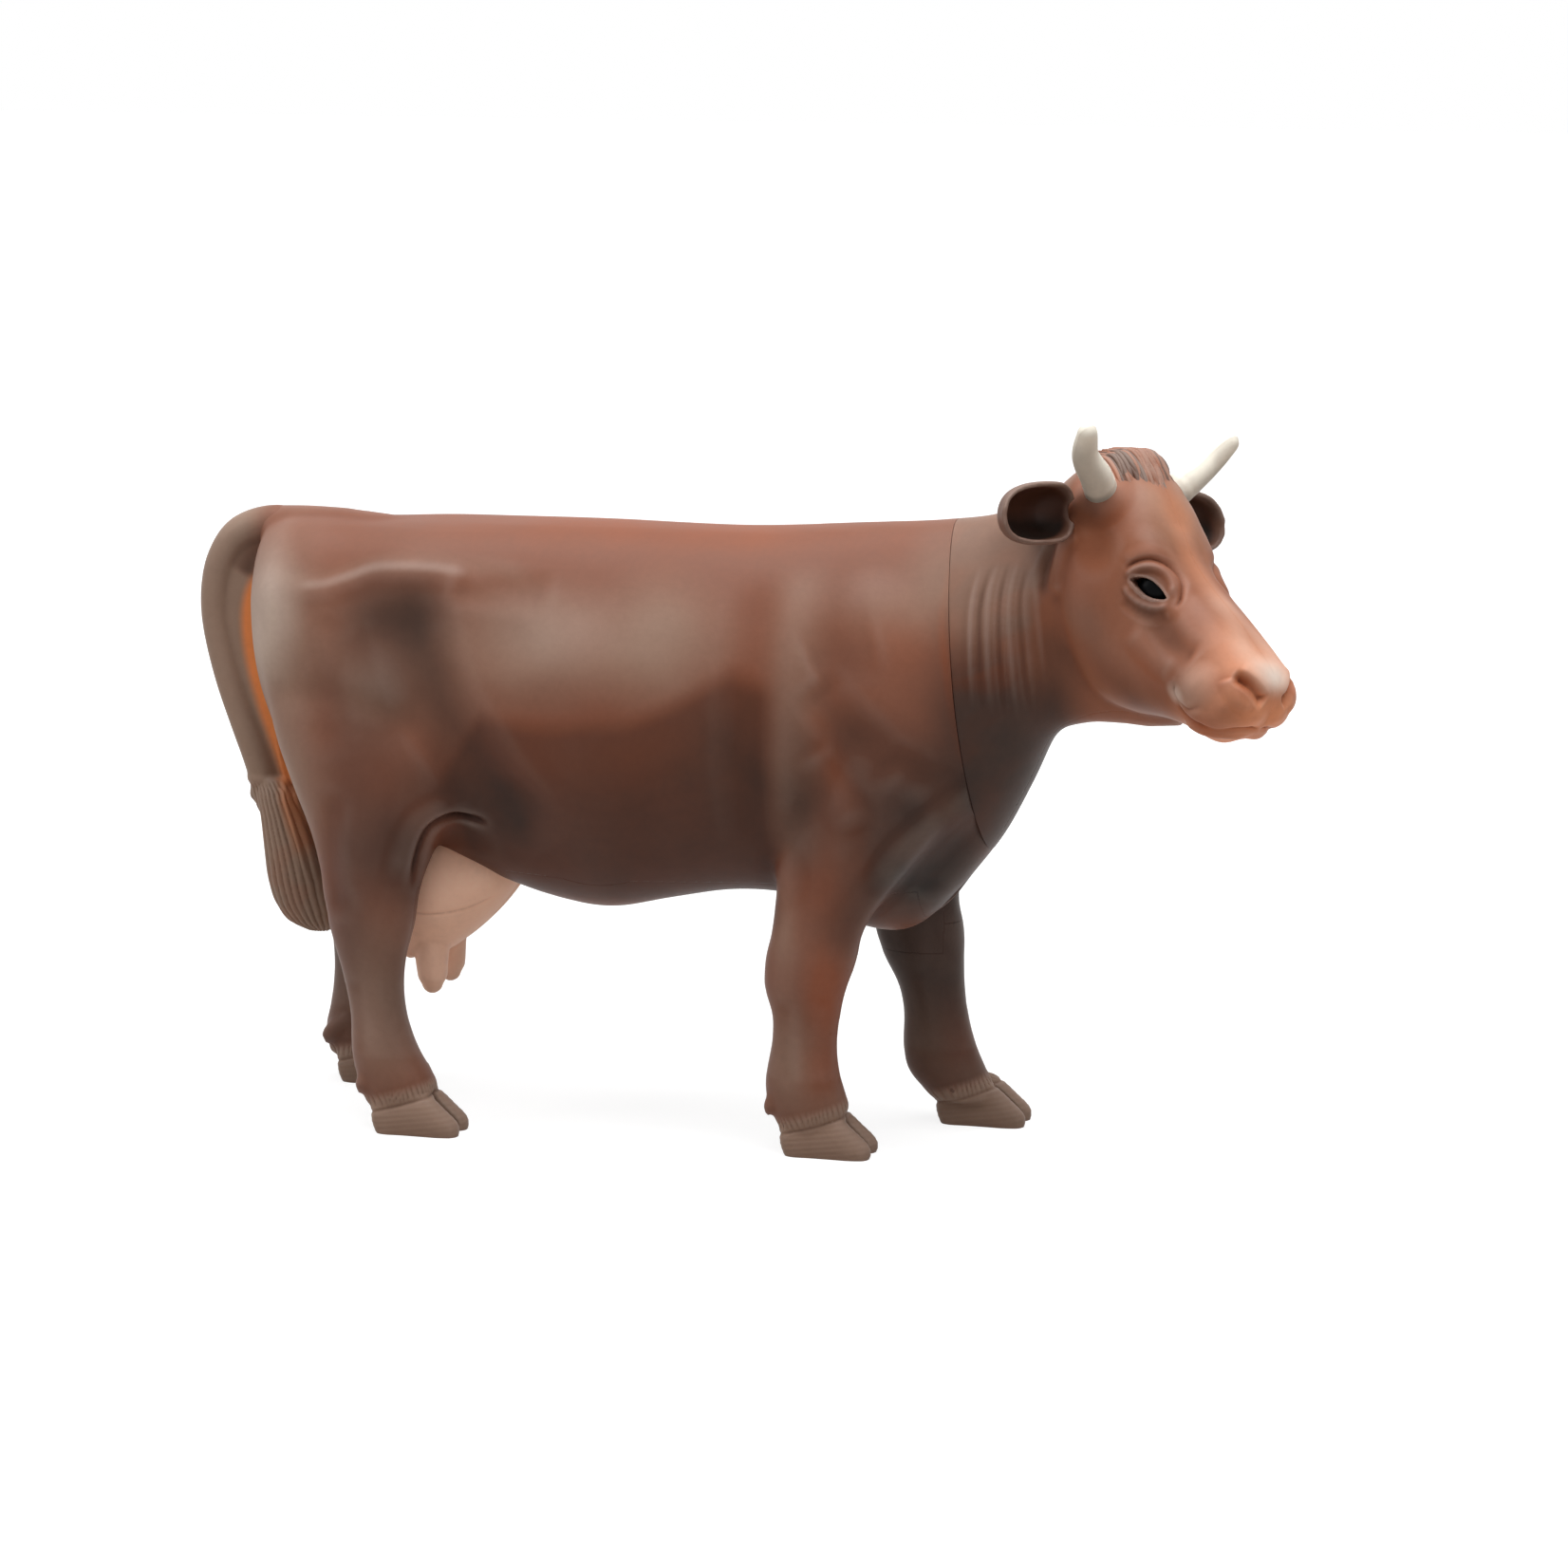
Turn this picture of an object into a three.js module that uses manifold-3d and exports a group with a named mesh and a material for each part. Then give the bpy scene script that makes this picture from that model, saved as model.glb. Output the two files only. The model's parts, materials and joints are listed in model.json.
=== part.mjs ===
// Toy farm cow with a turning head, moulded in hollow plastic shells.
// Millimetres, +Z up, +X towards the head, +Y to the cow's left.
import * as THREE from 'three';
import { mergeVertices } from 'three/addons/utils/BufferGeometryUtils.js';
import Module from 'manifold-3d';

const wasm = await Module();
wasm.setup();

// Driving dimensions
const bodyLength = 189;
const withersHeight = 105;
const bodyWidth = 46;
const headLength = 48;
const wallThickness = 1.8;
const fitGap = 0.3;
const thinnest = 0.2;

// Neck joint
const neckTiltAngle = THREE.MathUtils.degToRad(6.7);
const neckSeamShare = 0.218;
const neckHeightShare = 0.743;
const runningGap = 0.3;
const bulkheadThickness = 2.6;
const shaftRadius = 7.5;
const collarRadius = 11;
const collarThickness = 2.2;
const keySide = 10;
const turnLimitAngle = THREE.MathUtils.degToRad(25);
const stopWidth = 3;
const stopDepth = 1.6;

// Head pose, turned to the cow's right with its right side a little raised
const headYawAngle = THREE.MathUtils.degToRad(-30);
const headRollAngle = THREE.MathUtils.degToRad(7.5);
const headPitchAngle = THREE.MathUtils.degToRad(41);
const headPlaceShares = [0.3475, -0.143, 1.01];

// Tail, horns, eyes, ears and teats
const tailRootRadius = 3.4;
const tailTipRadius = 2.5;
const hornRootRadius = 2.9;
const hornTipRadius = 1.9;
const eyeRadius = 3.3;
const earWall = 1.5;
const teatLength = 11;
const teatRadius = 2.7;
const teatTipShare = 0.8;

// One hoof claw of a pair, and the small dewclaw behind it
const clawLength = 15.5;
const clawHeight = 7.6;
const clawWidth = 4.9;
const clawSplit = 0.6;
const dewclawRadius = 2;
const dewclawBack = 1.2;

// Locating posts between the two body shells and between the two head shells
const postRadius = 3.2;
const pegRadius = 1.8;
const pegLength = 5;
const postShares = [[-0.32, 0.73], [-0.05, 0.72], [0.12, 0.62]];

// Counts of points round a ring
const bodyPoints = 26;
const legPoints = 16;
const headPoints = 24;
const cavityPoints = 16;
const roundSides = 20;
const slimSides = 12;
const ballRings = 8;
const arcSegments = 8;
const hornSegments = 8;
const tailSegments = 20;
const teatSegments = 4;

// Sections from the rump along the trunk and the neck into the head. Each row is
// place in x, underside, top line, half width and sideways shift, as shares of
// length, height and width, then the underside and top width shares and roundness.
const spineShares = [
  [-0.443, 0.800, 0.905, 0.08, 0, 1, 1, 1],
  [-0.434, 0.695, 0.955, 0.23, 0, 1, 1, 1],
  [-0.418, 0.610, 0.973, 0.33, 0, 0.9, 1, 0.85],
  [-0.386, 0.530, 0.979, 0.39, 0, 0.85, 1, 0.75],
  [-0.335, 0.485, 0.974, 0.43, 0, 0.85, 1, 0.7],
  [-0.275, 0.450, 0.976, 0.44, 0, 0.85, 1.04, 0.62],
  [-0.215, 0.404, 0.979, 0.45, 0, 0.85, 0.96, 0.66],
  [-0.160, 0.373, 0.982, 0.475, 0, 0.88, 0.84, 0.72],
  [-0.110, 0.361, 0.982, 0.5, 0, 0.9, 0.78, 0.74],
  [-0.050, 0.382, 0.980, 0.495, 0, 0.9, 0.76, 0.74],
  [0.010, 0.401, 0.980, 0.48, 0, 0.9, 0.76, 0.74],
  [0.065, 0.394, 0.985, 0.45, 0, 0.85, 0.78, 0.76],
  [0.120, 0.350, 0.993, 0.43, 0, 0.8, 0.76, 0.8],
  [0.160, 0.350, 0.998, 0.41, 0, 0.75, 0.74, 0.8],
  [0.190, 0.388, 1.003, 0.385, 0, 0.75, 0.72, 0.82],
  [0.222, 0.453, 1.010, 0.355, 0, 0.78, 0.74, 0.84],
  [0.248, 0.518, 1.022, 0.325, -0.01, 0.8, 0.76, 0.86],
  [0.272, 0.598, 1.040, 0.29, -0.035, 0.82, 0.8, 0.9],
  [0.292, 0.672, 1.060, 0.26, -0.06, 0.85, 0.85, 0.92],
  [0.318, 0.697, 1.070, 0.23, -0.095, 0.85, 0.9, 0.95],
  [0.350, 0.704, 1.060, 0.20, -0.155, 0.85, 0.9, 1],
  [0.385, 0.708, 0.980, 0.15, -0.235, 0.85, 0.9, 1],
  [0.415, 0.716, 0.900, 0.11, -0.30, 0.85, 0.9, 1],
];

// Sections of a fore and a hind leg from the foot up. Each row is place in z, rear
// edge, front edge, half width, distance from the middle and share of the stance
// shift, then rear and front width shares and roundness.
const foreLegShares = [
  [0.040, 0.060, 0.118, 0.100, 0.275, 1, 1, 1, 0.85],
  [0.085, 0.048, 0.120, 0.115, 0.280, 0.88, 0.9, 1, 0.85],
  [0.120, 0.047, 0.115, 0.110, 0.290, 0.84, 0.9, 1, 0.9],
  [0.180, 0.053, 0.112, 0.098, 0.300, 0.78, 0.9, 0.95, 0.95],
  [0.225, 0.054, 0.115, 0.102, 0.305, 0.72, 0.95, 0.95, 0.95],
  [0.275, 0.047, 0.121, 0.120, 0.310, 0.65, 0.95, 1, 0.9],
  [0.325, 0.050, 0.129, 0.125, 0.310, 0.56, 0.95, 0.95, 0.9],
  [0.375, 0.055, 0.138, 0.125, 0.305, 0.45, 0.9, 0.9, 0.9],
  [0.440, 0.058, 0.163, 0.145, 0.290, 0.3, 0.9, 0.85, 0.85],
  [0.510, 0.060, 0.194, 0.175, 0.270, 0.13, 0.9, 0.8, 0.8],
  [0.590, 0.062, 0.213, 0.200, 0.240, 0, 0.9, 0.75, 0.75],
  [0.690, 0.062, 0.208, 0.200, 0.220, 0, 0.9, 0.75, 0.75],
  [0.780, 0.068, 0.185, 0.160, 0.200, 0, 0.9, 0.8, 0.85],
];
const hindLegShares = [
  [0.040, -0.318, -0.256, 0.100, 0.350, 1, 1, 1, 0.85],
  [0.085, -0.328, -0.257, 0.115, 0.350, 0.95, 0.9, 1, 0.85],
  [0.125, -0.333, -0.270, 0.110, 0.350, 0.85, 0.9, 1, 0.9],
  [0.190, -0.334, -0.282, 0.096, 0.350, 0.8, 0.9, 0.95, 0.95],
  [0.260, -0.342, -0.284, 0.098, 0.346, 0.74, 0.85, 0.95, 0.95],
  [0.330, -0.354, -0.276, 0.115, 0.342, 0.66, 0.75, 1, 0.95],
  [0.400, -0.360, -0.269, 0.135, 0.335, 0.55, 0.75, 1, 0.9],
  [0.475, -0.370, -0.252, 0.170, 0.315, 0.36, 0.85, 0.9, 0.85],
  [0.550, -0.388, -0.222, 0.205, 0.285, 0.17, 0.9, 0.8, 0.8],
  [0.640, -0.408, -0.205, 0.225, 0.250, 0, 0.95, 0.75, 0.75],
  [0.725, -0.420, -0.220, 0.200, 0.225, 0, 0.95, 0.75, 0.8],
  [0.810, -0.425, -0.245, 0.160, 0.200, 0, 0.95, 0.8, 0.9],
];

// Where each leg stands. Side is the sign of y. The stance shift moves a foot along
// x, the hoof share is its hoof's centre, the split share is where its outer and
// inner halves part, and the inner share is how high the separate inner half goes.
const panHalfShare = 0.305;
const foreInnerShare = 0.333;
const hindInnerShare = 0.4;
const legs = [
  { name: 'right_fore', rows: foreLegShares, side: -1, stanceShare: 0, hoofShare: 0.103,
    splitShare: 0.265, innerShare: foreInnerShare },
  { name: 'left_fore', rows: foreLegShares, side: 1, stanceShare: 0.108, hoofShare: 0.211,
    splitShare: 0.32, innerShare: foreInnerShare },
  { name: 'right_hind', rows: hindLegShares, side: -1, stanceShare: 0, hoofShare: -0.27,
    splitShare: 0.35, innerShare: hindInnerShare },
  { name: 'left_hind', rows: hindLegShares, side: 1, stanceShare: -0.098, hoofShare: -0.363,
    splitShare: 0.33, innerShare: hindInnerShare },
];

// The belly pan: its ends in x and the height of its parting line
const panRearShare = -0.196;
const panFrontShare = 0.178;
const panTopShare = 0.425;

// A claw from heel to toe: place as a share of its length, underside and top as
// shares of its height and half width as a share of its width.
const clawShares = [
  [0, 0.25, 0.6, 0.2],
  [0.04, 0.04, 0.8, 0.4],
  [0.12, -0.2, 0.95, 0.48],
  [0.35, -0.2, 1.04, 0.5],
  [0.6, -0.2, 0.96, 0.5],
  [0.85, -0.2, 0.54, 0.42],
  [0.96, -0.1, 0.34, 0.28],
  [1, 0.06, 0.24, 0.1],
];
const clawShapeShares = [0, 1, 0.7, 0.8];

// Sections of the head along its sloping axis, as shares of the head length:
// place, jaw side, forehead side, half width, then width shares and roundness.
const headShares = [
  [-0.21, -0.18, 0.09, 0.10, 0, 1, 1, 1],
  [-0.17, -0.26, 0.17, 0.17, 0, 1, 1, 0.9],
  [-0.10, -0.32, 0.222, 0.205, 0, 0.9, 0.9, 0.75],
  [0, -0.36, 0.235, 0.217, 0, 0.85, 0.95, 0.62],
  [0.10, -0.39, 0.23, 0.222, 0, 0.75, 1, 0.56],
  [0.20, -0.41, 0.198, 0.226, 0, 0.68, 1.06, 0.52],
  [0.30, -0.415, 0.163, 0.220, 0, 0.62, 1.08, 0.52],
  [0.41, -0.40, 0.156, 0.208, 0, 0.58, 1, 0.58],
  [0.54, -0.33, 0.166, 0.196, 0, 0.6, 1, 0.6],
  [0.65, -0.24, 0.172, 0.190, 0, 0.7, 1, 0.64],
  [0.74, -0.180, 0.175, 0.188, 0, 0.85, 1, 0.66],
  [0.82, -0.142, 0.168, 0.186, 0, 0.9, 1, 0.7],
  [0.88, -0.085, 0.125, 0.155, 0, 0.9, 0.95, 0.8],
  [0.915, -0.025, 0.05, 0.07, 0, 1, 1, 1],
];

// Places on the head as shares of its length: along its axis, to its left, up
const eyeShares = [0.352, 0.155, 0.1];
const eyeFormShares = [1, 0.7, 0.72];
const earRootShares = [-0.04, 0.165, 0.01];
const earTipShares = [-0.03, 0.59, 0.01];
const earSectionShares = [0.06, 0.1, 0.124, 0.122, 0.094, 0.045];
const earDepthShare = 0.5;
const hornCurveShares = [
  [-0.02, 0.11, 0.11], [-0.06, 0.226, 0.17], [-0.09, 0.306, 0.232], [-0.076, 0.352, 0.336],
];
const tuftPlaceShares = [-0.01, 0, 0.215];
const tuftSizeShares = [0.142, 0.15, 0.06];

// The udder from rear to front and its teats, as shares like the spine's
const udderShares = [
  [-0.315, 0.262, 0.42, 0.12, 0, 1, 1, 1],
  [-0.305, 0.252, 0.47, 0.2, 0, 0.9, 1, 0.9],
  [-0.275, 0.262, 0.5, 0.245, 0, 0.85, 1, 0.8],
  [-0.240, 0.305, 0.5, 0.23, 0, 0.85, 1, 0.8],
  [-0.210, 0.362, 0.47, 0.18, 0, 0.9, 1, 0.9],
  [-0.195, 0.400, 0.45, 0.1, 0, 1, 1, 1],
];
const teatPlaceShares = [-0.301, -0.273];
const teatSideShare = 0.1;
const teatTopShare = 0.305;

// The tail's middle line, and its switch from the top down as height, rear edge,
// front edge, half width and sideways place
const tailShares = [
  [-0.395, 0, 0.940], [-0.428, 0, 0.956], [-0.461, 0, 0.939], [-0.479, 0, 0.897],
  [-0.4865, 0, 0.845], [-0.486, 0, 0.785], [-0.4755, -0.01, 0.705], [-0.461, -0.02, 0.630],
  [-0.447, -0.035, 0.565],
];
const switchShares = [
  [0.575, -0.457, -0.426, 0.05, -0.035],
  [0.555, -0.454, -0.414, 0.085, -0.038],
  [0.500, -0.446, -0.402, 0.105, -0.045],
  [0.430, -0.440, -0.388, 0.11, -0.05],
  [0.375, -0.437, -0.376, 0.1, -0.05],
  [0.330, -0.429, -0.372, 0.08, -0.05],
  [0.302, -0.415, -0.374, 0.06, -0.05],
  [0.290, -0.400, -0.380, 0.03, -0.05],
];

// The thin web that joins the tail to the rump, from its top down as place in x of
// its inner edge and height
const webThickness = 2.2;
const webShares = [[-0.405, 0.925], [-0.420, 0.86], [-0.417, 0.75], [-0.405, 0.65], [-0.398, 0.58]];

const far = 2 * bodyLength;
const materials = {
  hide: { color: 0x694637, roughness: 0.55, metalness: 0 },
  belly: { color: 0x5c4138, roughness: 0.6, metalness: 0 },
  face: { color: 0x8a5842, roughness: 0.5, metalness: 0 },
  udder: { color: 0xd79a80, roughness: 0.5, metalness: 0 },
  horn: { color: 0xd5cdbf, roughness: 0.4, metalness: 0 },
  eye: { color: 0x0b0b0d, roughness: 0.1, metalness: 0 },
  swivel: { color: 0x3c3634, roughness: 0.45, metalness: 0 },
};

// Solids from closed meshes, and back
function solidOf(geometry, matrix) {
  const plain = geometry.clone();
  if (matrix) plain.applyMatrix4(matrix);
  plain.deleteAttribute('normal');
  plain.deleteAttribute('uv');
  const merged = mergeVertices(plain);
  const vertProperties = new Float32Array(merged.attributes.position.array);
  const triVerts = new Uint32Array(merged.index.array);
  return new wasm.Manifold(new wasm.Mesh({ numProp: 3, vertProperties, triVerts }));
}

function geometryOf(solid) {
  const mesh = solid.getMesh();
  const geometry = new THREE.BufferGeometry();
  const places = new THREE.BufferAttribute(new Float32Array(mesh.vertProperties), mesh.numProp);
  geometry.setAttribute('position', places);
  geometry.setIndex(new THREE.BufferAttribute(new Uint32Array(mesh.triVerts), 1));
  geometry.computeVertexNormals();
  return geometry;
}

function joined(solids) {
  return solids.reduce((sum, solid) => sum.add(solid));
}

function without(solid, cutters) {
  return cutters.reduce((rest, cutter) => rest.subtract(cutter), solid);
}

// Rows in between, on smooth curves through the given rows
function blend(rows, steps) {
  const last = rows.length - 1;
  const between = rows.slice(0, last).flatMap((row, i) => {
    const before = rows[Math.max(i - 1, 0)];
    const next = rows[i + 1];
    const after = rows[Math.min(i + 2, last)];
    return Array.from({ length: steps }, (_, k) => {
      const t = k / steps;
      return row.map((start, j) => {
        const leave = (next[j] - before[j]) / 2;
        const arrive = (after[j] - start) / 2;
        const rise = next[j] - start;
        const bend = 3 * rise - 2 * leave - arrive;
        return start + t * (leave + t * (bend + t * (leave + arrive - 2 * rise)));
      });
    });
  });
  return [...between, rows[last]];
}

function signedVolume(points, faces) {
  const cross = new THREE.Vector3();
  let sum = 0;
  for (let i = 0; i < faces.length; i += 3) {
    cross.crossVectors(points[faces[i + 1]], points[faces[i + 2]]);
    sum += points[faces[i]].dot(cross);
  }
  return sum;
}

// Skin a row of rings, each a list of points, and close both ends
function skin(rings) {
  const count = rings[0].length;
  const centreOf = (ring) => {
    return ring.reduce((sum, point) => sum.add(point), new THREE.Vector3()).divideScalar(count);
  };
  const points = [...rings.flat(), centreOf(rings[0]), centreOf(rings[rings.length - 1])];
  const last = (rings.length - 1) * count;
  const faces = [];
  for (let k = 0; k < count; k++) {
    const next = (k + 1) % count;
    for (let i = 0; i < last; i += count) {
      faces.push(i + k, i + next, i + count + next, i + k, i + count + next, i + count + k);
    }
    faces.push(points.length - 2, next, k, points.length - 1, last + k, last + next);
  }
  const geometry = new THREE.BufferGeometry();
  const places = points.flatMap((point) => point.toArray());
  geometry.setAttribute('position', new THREE.Float32BufferAttribute(places, 3));
  geometry.setIndex(signedVolume(points, faces) < 0 ? faces.reverse() : faces);
  return geometry;
}

// Loft rows of place, low, high, half width, shift and shape. The inset moves every
// wall inwards. The place function turns along, across and up into a point.
function loft(rows, { points, steps = 2, inset = 0, place = (x, y, z) => new THREE.Vector3(x, y, z) }) {
  const last = rows.length - 1;
  const onward = Math.sign(rows[last][0] - rows[0][0]);
  const moved = rows.map((row, i) => {
    const [at, low, high, half, shift = 0, lowWide = 1, highWide = 1, round = 1] = row;
    const middle = (low + high) / 2;
    const rise = Math.max((high - low) / 2 - inset, thinnest);
    const wide = Math.max(half - inset, thinnest);
    const ends = (i === 0) - (i === last);
    return [at + ends * onward * inset, middle, rise, wide, shift, lowWide, highWide, round];
  });
  return solidOf(skin(blend(moved, steps).map(([at, middle, rise, half, shift, lowWide, highWide, round]) => {
    return Array.from({ length: points }, (_, k) => {
      const angle = (2 * Math.PI * k) / points;
      const up = Math.sin(angle);
      const out = Math.cos(angle);
      const share = 1 + ((up < 0 ? lowWide : highWide) - 1) * up * up;
      return place(at, shift + half * share * Math.sign(out) * Math.abs(out) ** round, middle + rise * up);
    });
  })));
}

function sized(rows, along, upward, wide) {
  return rows.map(([at, low, high, half, shift = 0, ...shape]) => {
    return [at * along, low * upward, high * upward, half * wide, shift * wide, ...shape];
  });
}

function box(x0, x1, y0, y1, z0, z1) {
  const middle = new THREE.Matrix4().makeTranslation((x0 + x1) / 2, (y0 + y1) / 2, (z0 + z1) / 2);
  return solidOf(new THREE.BoxGeometry(x1 - x0, y1 - y0, z1 - z0), middle);
}

function rod(radius, from, to, sides = roundSides) {
  const line = to.clone().sub(from);
  const upright = new THREE.Vector3(0, 1, 0);
  const turn = new THREE.Quaternion().setFromUnitVectors(upright, line.clone().normalize());
  const middle = from.clone().add(to).divideScalar(2);
  const matrix = new THREE.Matrix4().compose(middle, turn, new THREE.Vector3(1, 1, 1));
  return solidOf(new THREE.CylinderGeometry(radius, radius, line.length(), sides), matrix);
}

// A round bar that tapers along a curve, with a rounded tip
function taper(points, rootRadius, tipRadius, steps, sides, grow) {
  const curve = new THREE.CatmullRomCurve3(points);
  const frames = curve.computeFrenetFrames(steps);
  return solidOf(skin(frames.normals.map((normal, i) => {
    const t = i / steps;
    const closing = i === steps ? 2 : 1;
    const radius = THREE.MathUtils.lerp(rootRadius, tipRadius, t) / closing + grow;
    const centre = curve.getPointAt(t);
    return Array.from({ length: sides }, (_, k) => {
      const angle = (2 * Math.PI * k) / sides;
      return centre.clone()
        .addScaledVector(normal, radius * Math.cos(angle))
        .addScaledVector(frames.binormals[i], radius * Math.sin(angle));
    });
  })));
}

// Legs and hooves
function splitPlace(leg) {
  return leg.side * leg.splitShare * bodyWidth;
}

function claw(leg, outward) {
  const heel = leg.hoofShare * bodyLength - clawLength / 2;
  const middle = splitPlace(leg) + outward * (clawWidth + clawSplit) / 2;
  const shaped = clawShares.map((row) => [...row, ...clawShapeShares]);
  return loft(sized(shaped, clawLength, clawHeight, clawWidth), {
    points: slimSides, steps: 1, place: (x, y, z) => new THREE.Vector3(heel + x, middle + y, z),
  });
}

function dewclaw(leg, outward) {
  const rear = leg.hoofShare * bodyLength - clawLength / 2 - dewclawBack;
  const across = splitPlace(leg) + outward * clawWidth / 2;
  const nub = new THREE.SphereGeometry(dewclawRadius, ballRings, ballRings);
  return solidOf(nub.translate(rear, across, clawHeight - dewclawRadius));
}

function legSolid(leg) {
  const rows = leg.rows.map(([at, rear, front, half, apart, stance, ...shape]) => {
    const move = stance * leg.stanceShare;
    return [at, rear + move, front + move, half, leg.side * apart, ...shape];
  });
  const shaft = loft(sized(rows, withersHeight, bodyLength, bodyWidth), {
    points: legPoints, steps: 1, place: (z, y, x) => new THREE.Vector3(x, y, z),
  });
  const feet = [-1, 1].flatMap((outward) => [claw(leg, outward), dewclaw(leg, outward)]);
  return joined([shaft, ...feet]).subtract(box(-far, far, -far, far, -far, 0));
}

function innerRegion(leg) {
  const low = leg.rows.filter(([at]) => at < leg.innerShare);
  const backs = low.map(([, back, , , , stance]) => back + stance * leg.stanceShare);
  const rear = Math.min(...backs) * bodyLength;
  const toe = leg.hoofShare * bodyLength + clawLength / 2 + fitGap;
  const across = [splitPlace(leg), 0].sort((a, b) => a - b);
  const top = leg.innerShare * withersHeight;
  return box(rear - clawLength, toe, across[0], across[1], -wallThickness, top);
}

// Neck joint: everything here is square to the tilted neck axis
const halfGap = runningGap / 2;
const neckCentre = new THREE.Vector3(neckSeamShare * bodyLength, 0, neckHeightShare * withersHeight);
const neckAxis = new THREE.Vector3(Math.cos(neckTiltAngle), 0, Math.sin(neckTiltAngle));
const neckTurn = new THREE.Quaternion().setFromUnitVectors(new THREE.Vector3(0, 0, 1), neckAxis);

function alongNeck(distance) {
  return neckCentre.clone().addScaledVector(neckAxis, distance);
}

function neckMatrix(distance) {
  return new THREE.Matrix4().compose(alongNeck(distance), neckTurn, new THREE.Vector3(1, 1, 1));
}

function neckBlock(from, to, tall, wide) {
  return solidOf(new THREE.BoxGeometry(tall, wide, to - from), neckMatrix((from + to) / 2));
}

function collarRing(fromAngle, toAngle, inner, outer, from, to) {
  const outline = new THREE.Shape();
  outline.absarc(0, 0, outer, fromAngle, toAngle, false);
  outline.absarc(0, 0, inner, toAngle, fromAngle, true);
  const options = { depth: to - from, bevelEnabled: false, curveSegments: arcSegments };
  return solidOf(new THREE.ExtrudeGeometry(outline, options), neckMatrix(from));
}

const bodyFace = -halfGap;
const bodyWallRear = bodyFace - bulkheadThickness;
const headWallFront = halfGap + bulkheadThickness;
const collarFace = bodyWallRear - fitGap;
const collarBack = collarFace - collarThickness;
const keyFace = headWallFront + fitGap;
const stopAngle = Math.asin(stopWidth / 2 / collarRadius);

function neckSwivel() {
  const spread = turnLimitAngle + stopAngle + fitGap / collarRadius;
  const notchDepth = collarRadius - stopDepth - fitGap;
  const spool = joined([
    rod(collarRadius, alongNeck(collarBack), alongNeck(collarFace)),
    rod(shaftRadius, alongNeck(collarFace - fitGap), alongNeck(halfGap)),
    neckBlock(bodyFace, keyFace + fitGap, keySide, keySide),
    rod(collarRadius, alongNeck(keyFace), alongNeck(keyFace + collarThickness)),
  ]);
  const middle = -Math.PI / 2;
  return spool.subtract(collarRing(
    middle - spread, middle + spread, notchDepth, collarRadius + stopDepth,
    collarBack - fitGap, collarFace + fitGap));
}

function stopLug() {
  const middle = -Math.PI / 2;
  return collarRing(
    middle - stopAngle, middle + stopAngle, collarRadius - stopDepth, collarRadius + stopDepth,
    collarBack, bodyWallRear + fitGap);
}

// Head frame
const headOrigin = new THREE.Vector3(
  headPlaceShares[0] * bodyLength, headPlaceShares[1] * bodyWidth, headPlaceShares[2] * withersHeight);
const yawTurn = new THREE.Quaternion().setFromAxisAngle(new THREE.Vector3(0, 0, 1), headYawAngle);
const rollTurn = new THREE.Quaternion().setFromAxisAngle(new THREE.Vector3(1, 0, 0), -headRollAngle);
const pitchTurn = new THREE.Quaternion().setFromAxisAngle(new THREE.Vector3(0, 1, 0), headPitchAngle);
const headTurn = yawTurn.clone().multiply(rollTurn).multiply(pitchTurn);

function onHead(along, left, up) {
  return new THREE.Vector3(along, left, up).applyQuaternion(headTurn).add(headOrigin);
}

function onHeadShares([along, left, up], side = 1) {
  return onHead(along * headLength, side * left * headLength, up * headLength);
}

// Side pieces of the head. Grow makes the pocket that each one sits in.
function horn(side, grow = 0) {
  const points = hornCurveShares.map((share) => onHeadShares(share, side));
  return taper(points, hornRootRadius, hornTipRadius, hornSegments, slimSides, grow);
}

function ear(side, grow = 0) {
  const root = onHeadShares(earRootShares, side);
  const along = onHeadShares(earTipShares, side).sub(root);
  const size = along.length();
  along.normalize();
  const up = new THREE.Vector3(0, 0, 1).projectOnPlane(along).normalize();
  const deep = new THREE.Vector3().crossVectors(up, along).normalize().multiplyScalar(side);
  const rows = earSectionShares.map((share, i) => {
    const half = share * headLength;
    return [i / (earSectionShares.length - 1) * size, -half, half, half * earDepthShare];
  });
  const placed = (ahead) => (t, d, u) => root.clone()
    .addScaledVector(along, t)
    .addScaledVector(deep, d + ahead)
    .addScaledVector(up, u);
  const whole = loft(rows, { points: slimSides, inset: -grow, place: placed(0) });
  const cup = loft(rows.slice(1), { points: slimSides, inset: earWall, place: placed(2 * earWall) });
  return grow > 0 ? whole : whole.subtract(cup);
}

function eye(side, grow = 0) {
  const size = new THREE.Vector3(...eyeFormShares.map((share) => share * eyeRadius + grow));
  const matrix = new THREE.Matrix4().compose(onHeadShares(eyeShares, side), headTurn, size);
  return solidOf(new THREE.SphereGeometry(1, slimSides, ballRings), matrix);
}

// Udder with four teats
function udder(grow = 0) {
  const bag = loft(sized(udderShares, bodyLength, withersHeight, bodyWidth), {
    points: legPoints, inset: -grow,
  });
  if (grow > 0) return bag;
  const teats = teatPlaceShares.flatMap((share) => [-1, 1].map((side) => {
    const top = new THREE.Vector3(
      share * bodyLength, side * teatSideShare * bodyWidth, teatTopShare * withersHeight);
    const low = top.clone().setZ(top.z - teatLength);
    return taper([top, low], teatRadius, teatRadius * teatTipShare, teatSegments, slimSides, 0);
  }));
  return joined([bag, ...teats]);
}

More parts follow.
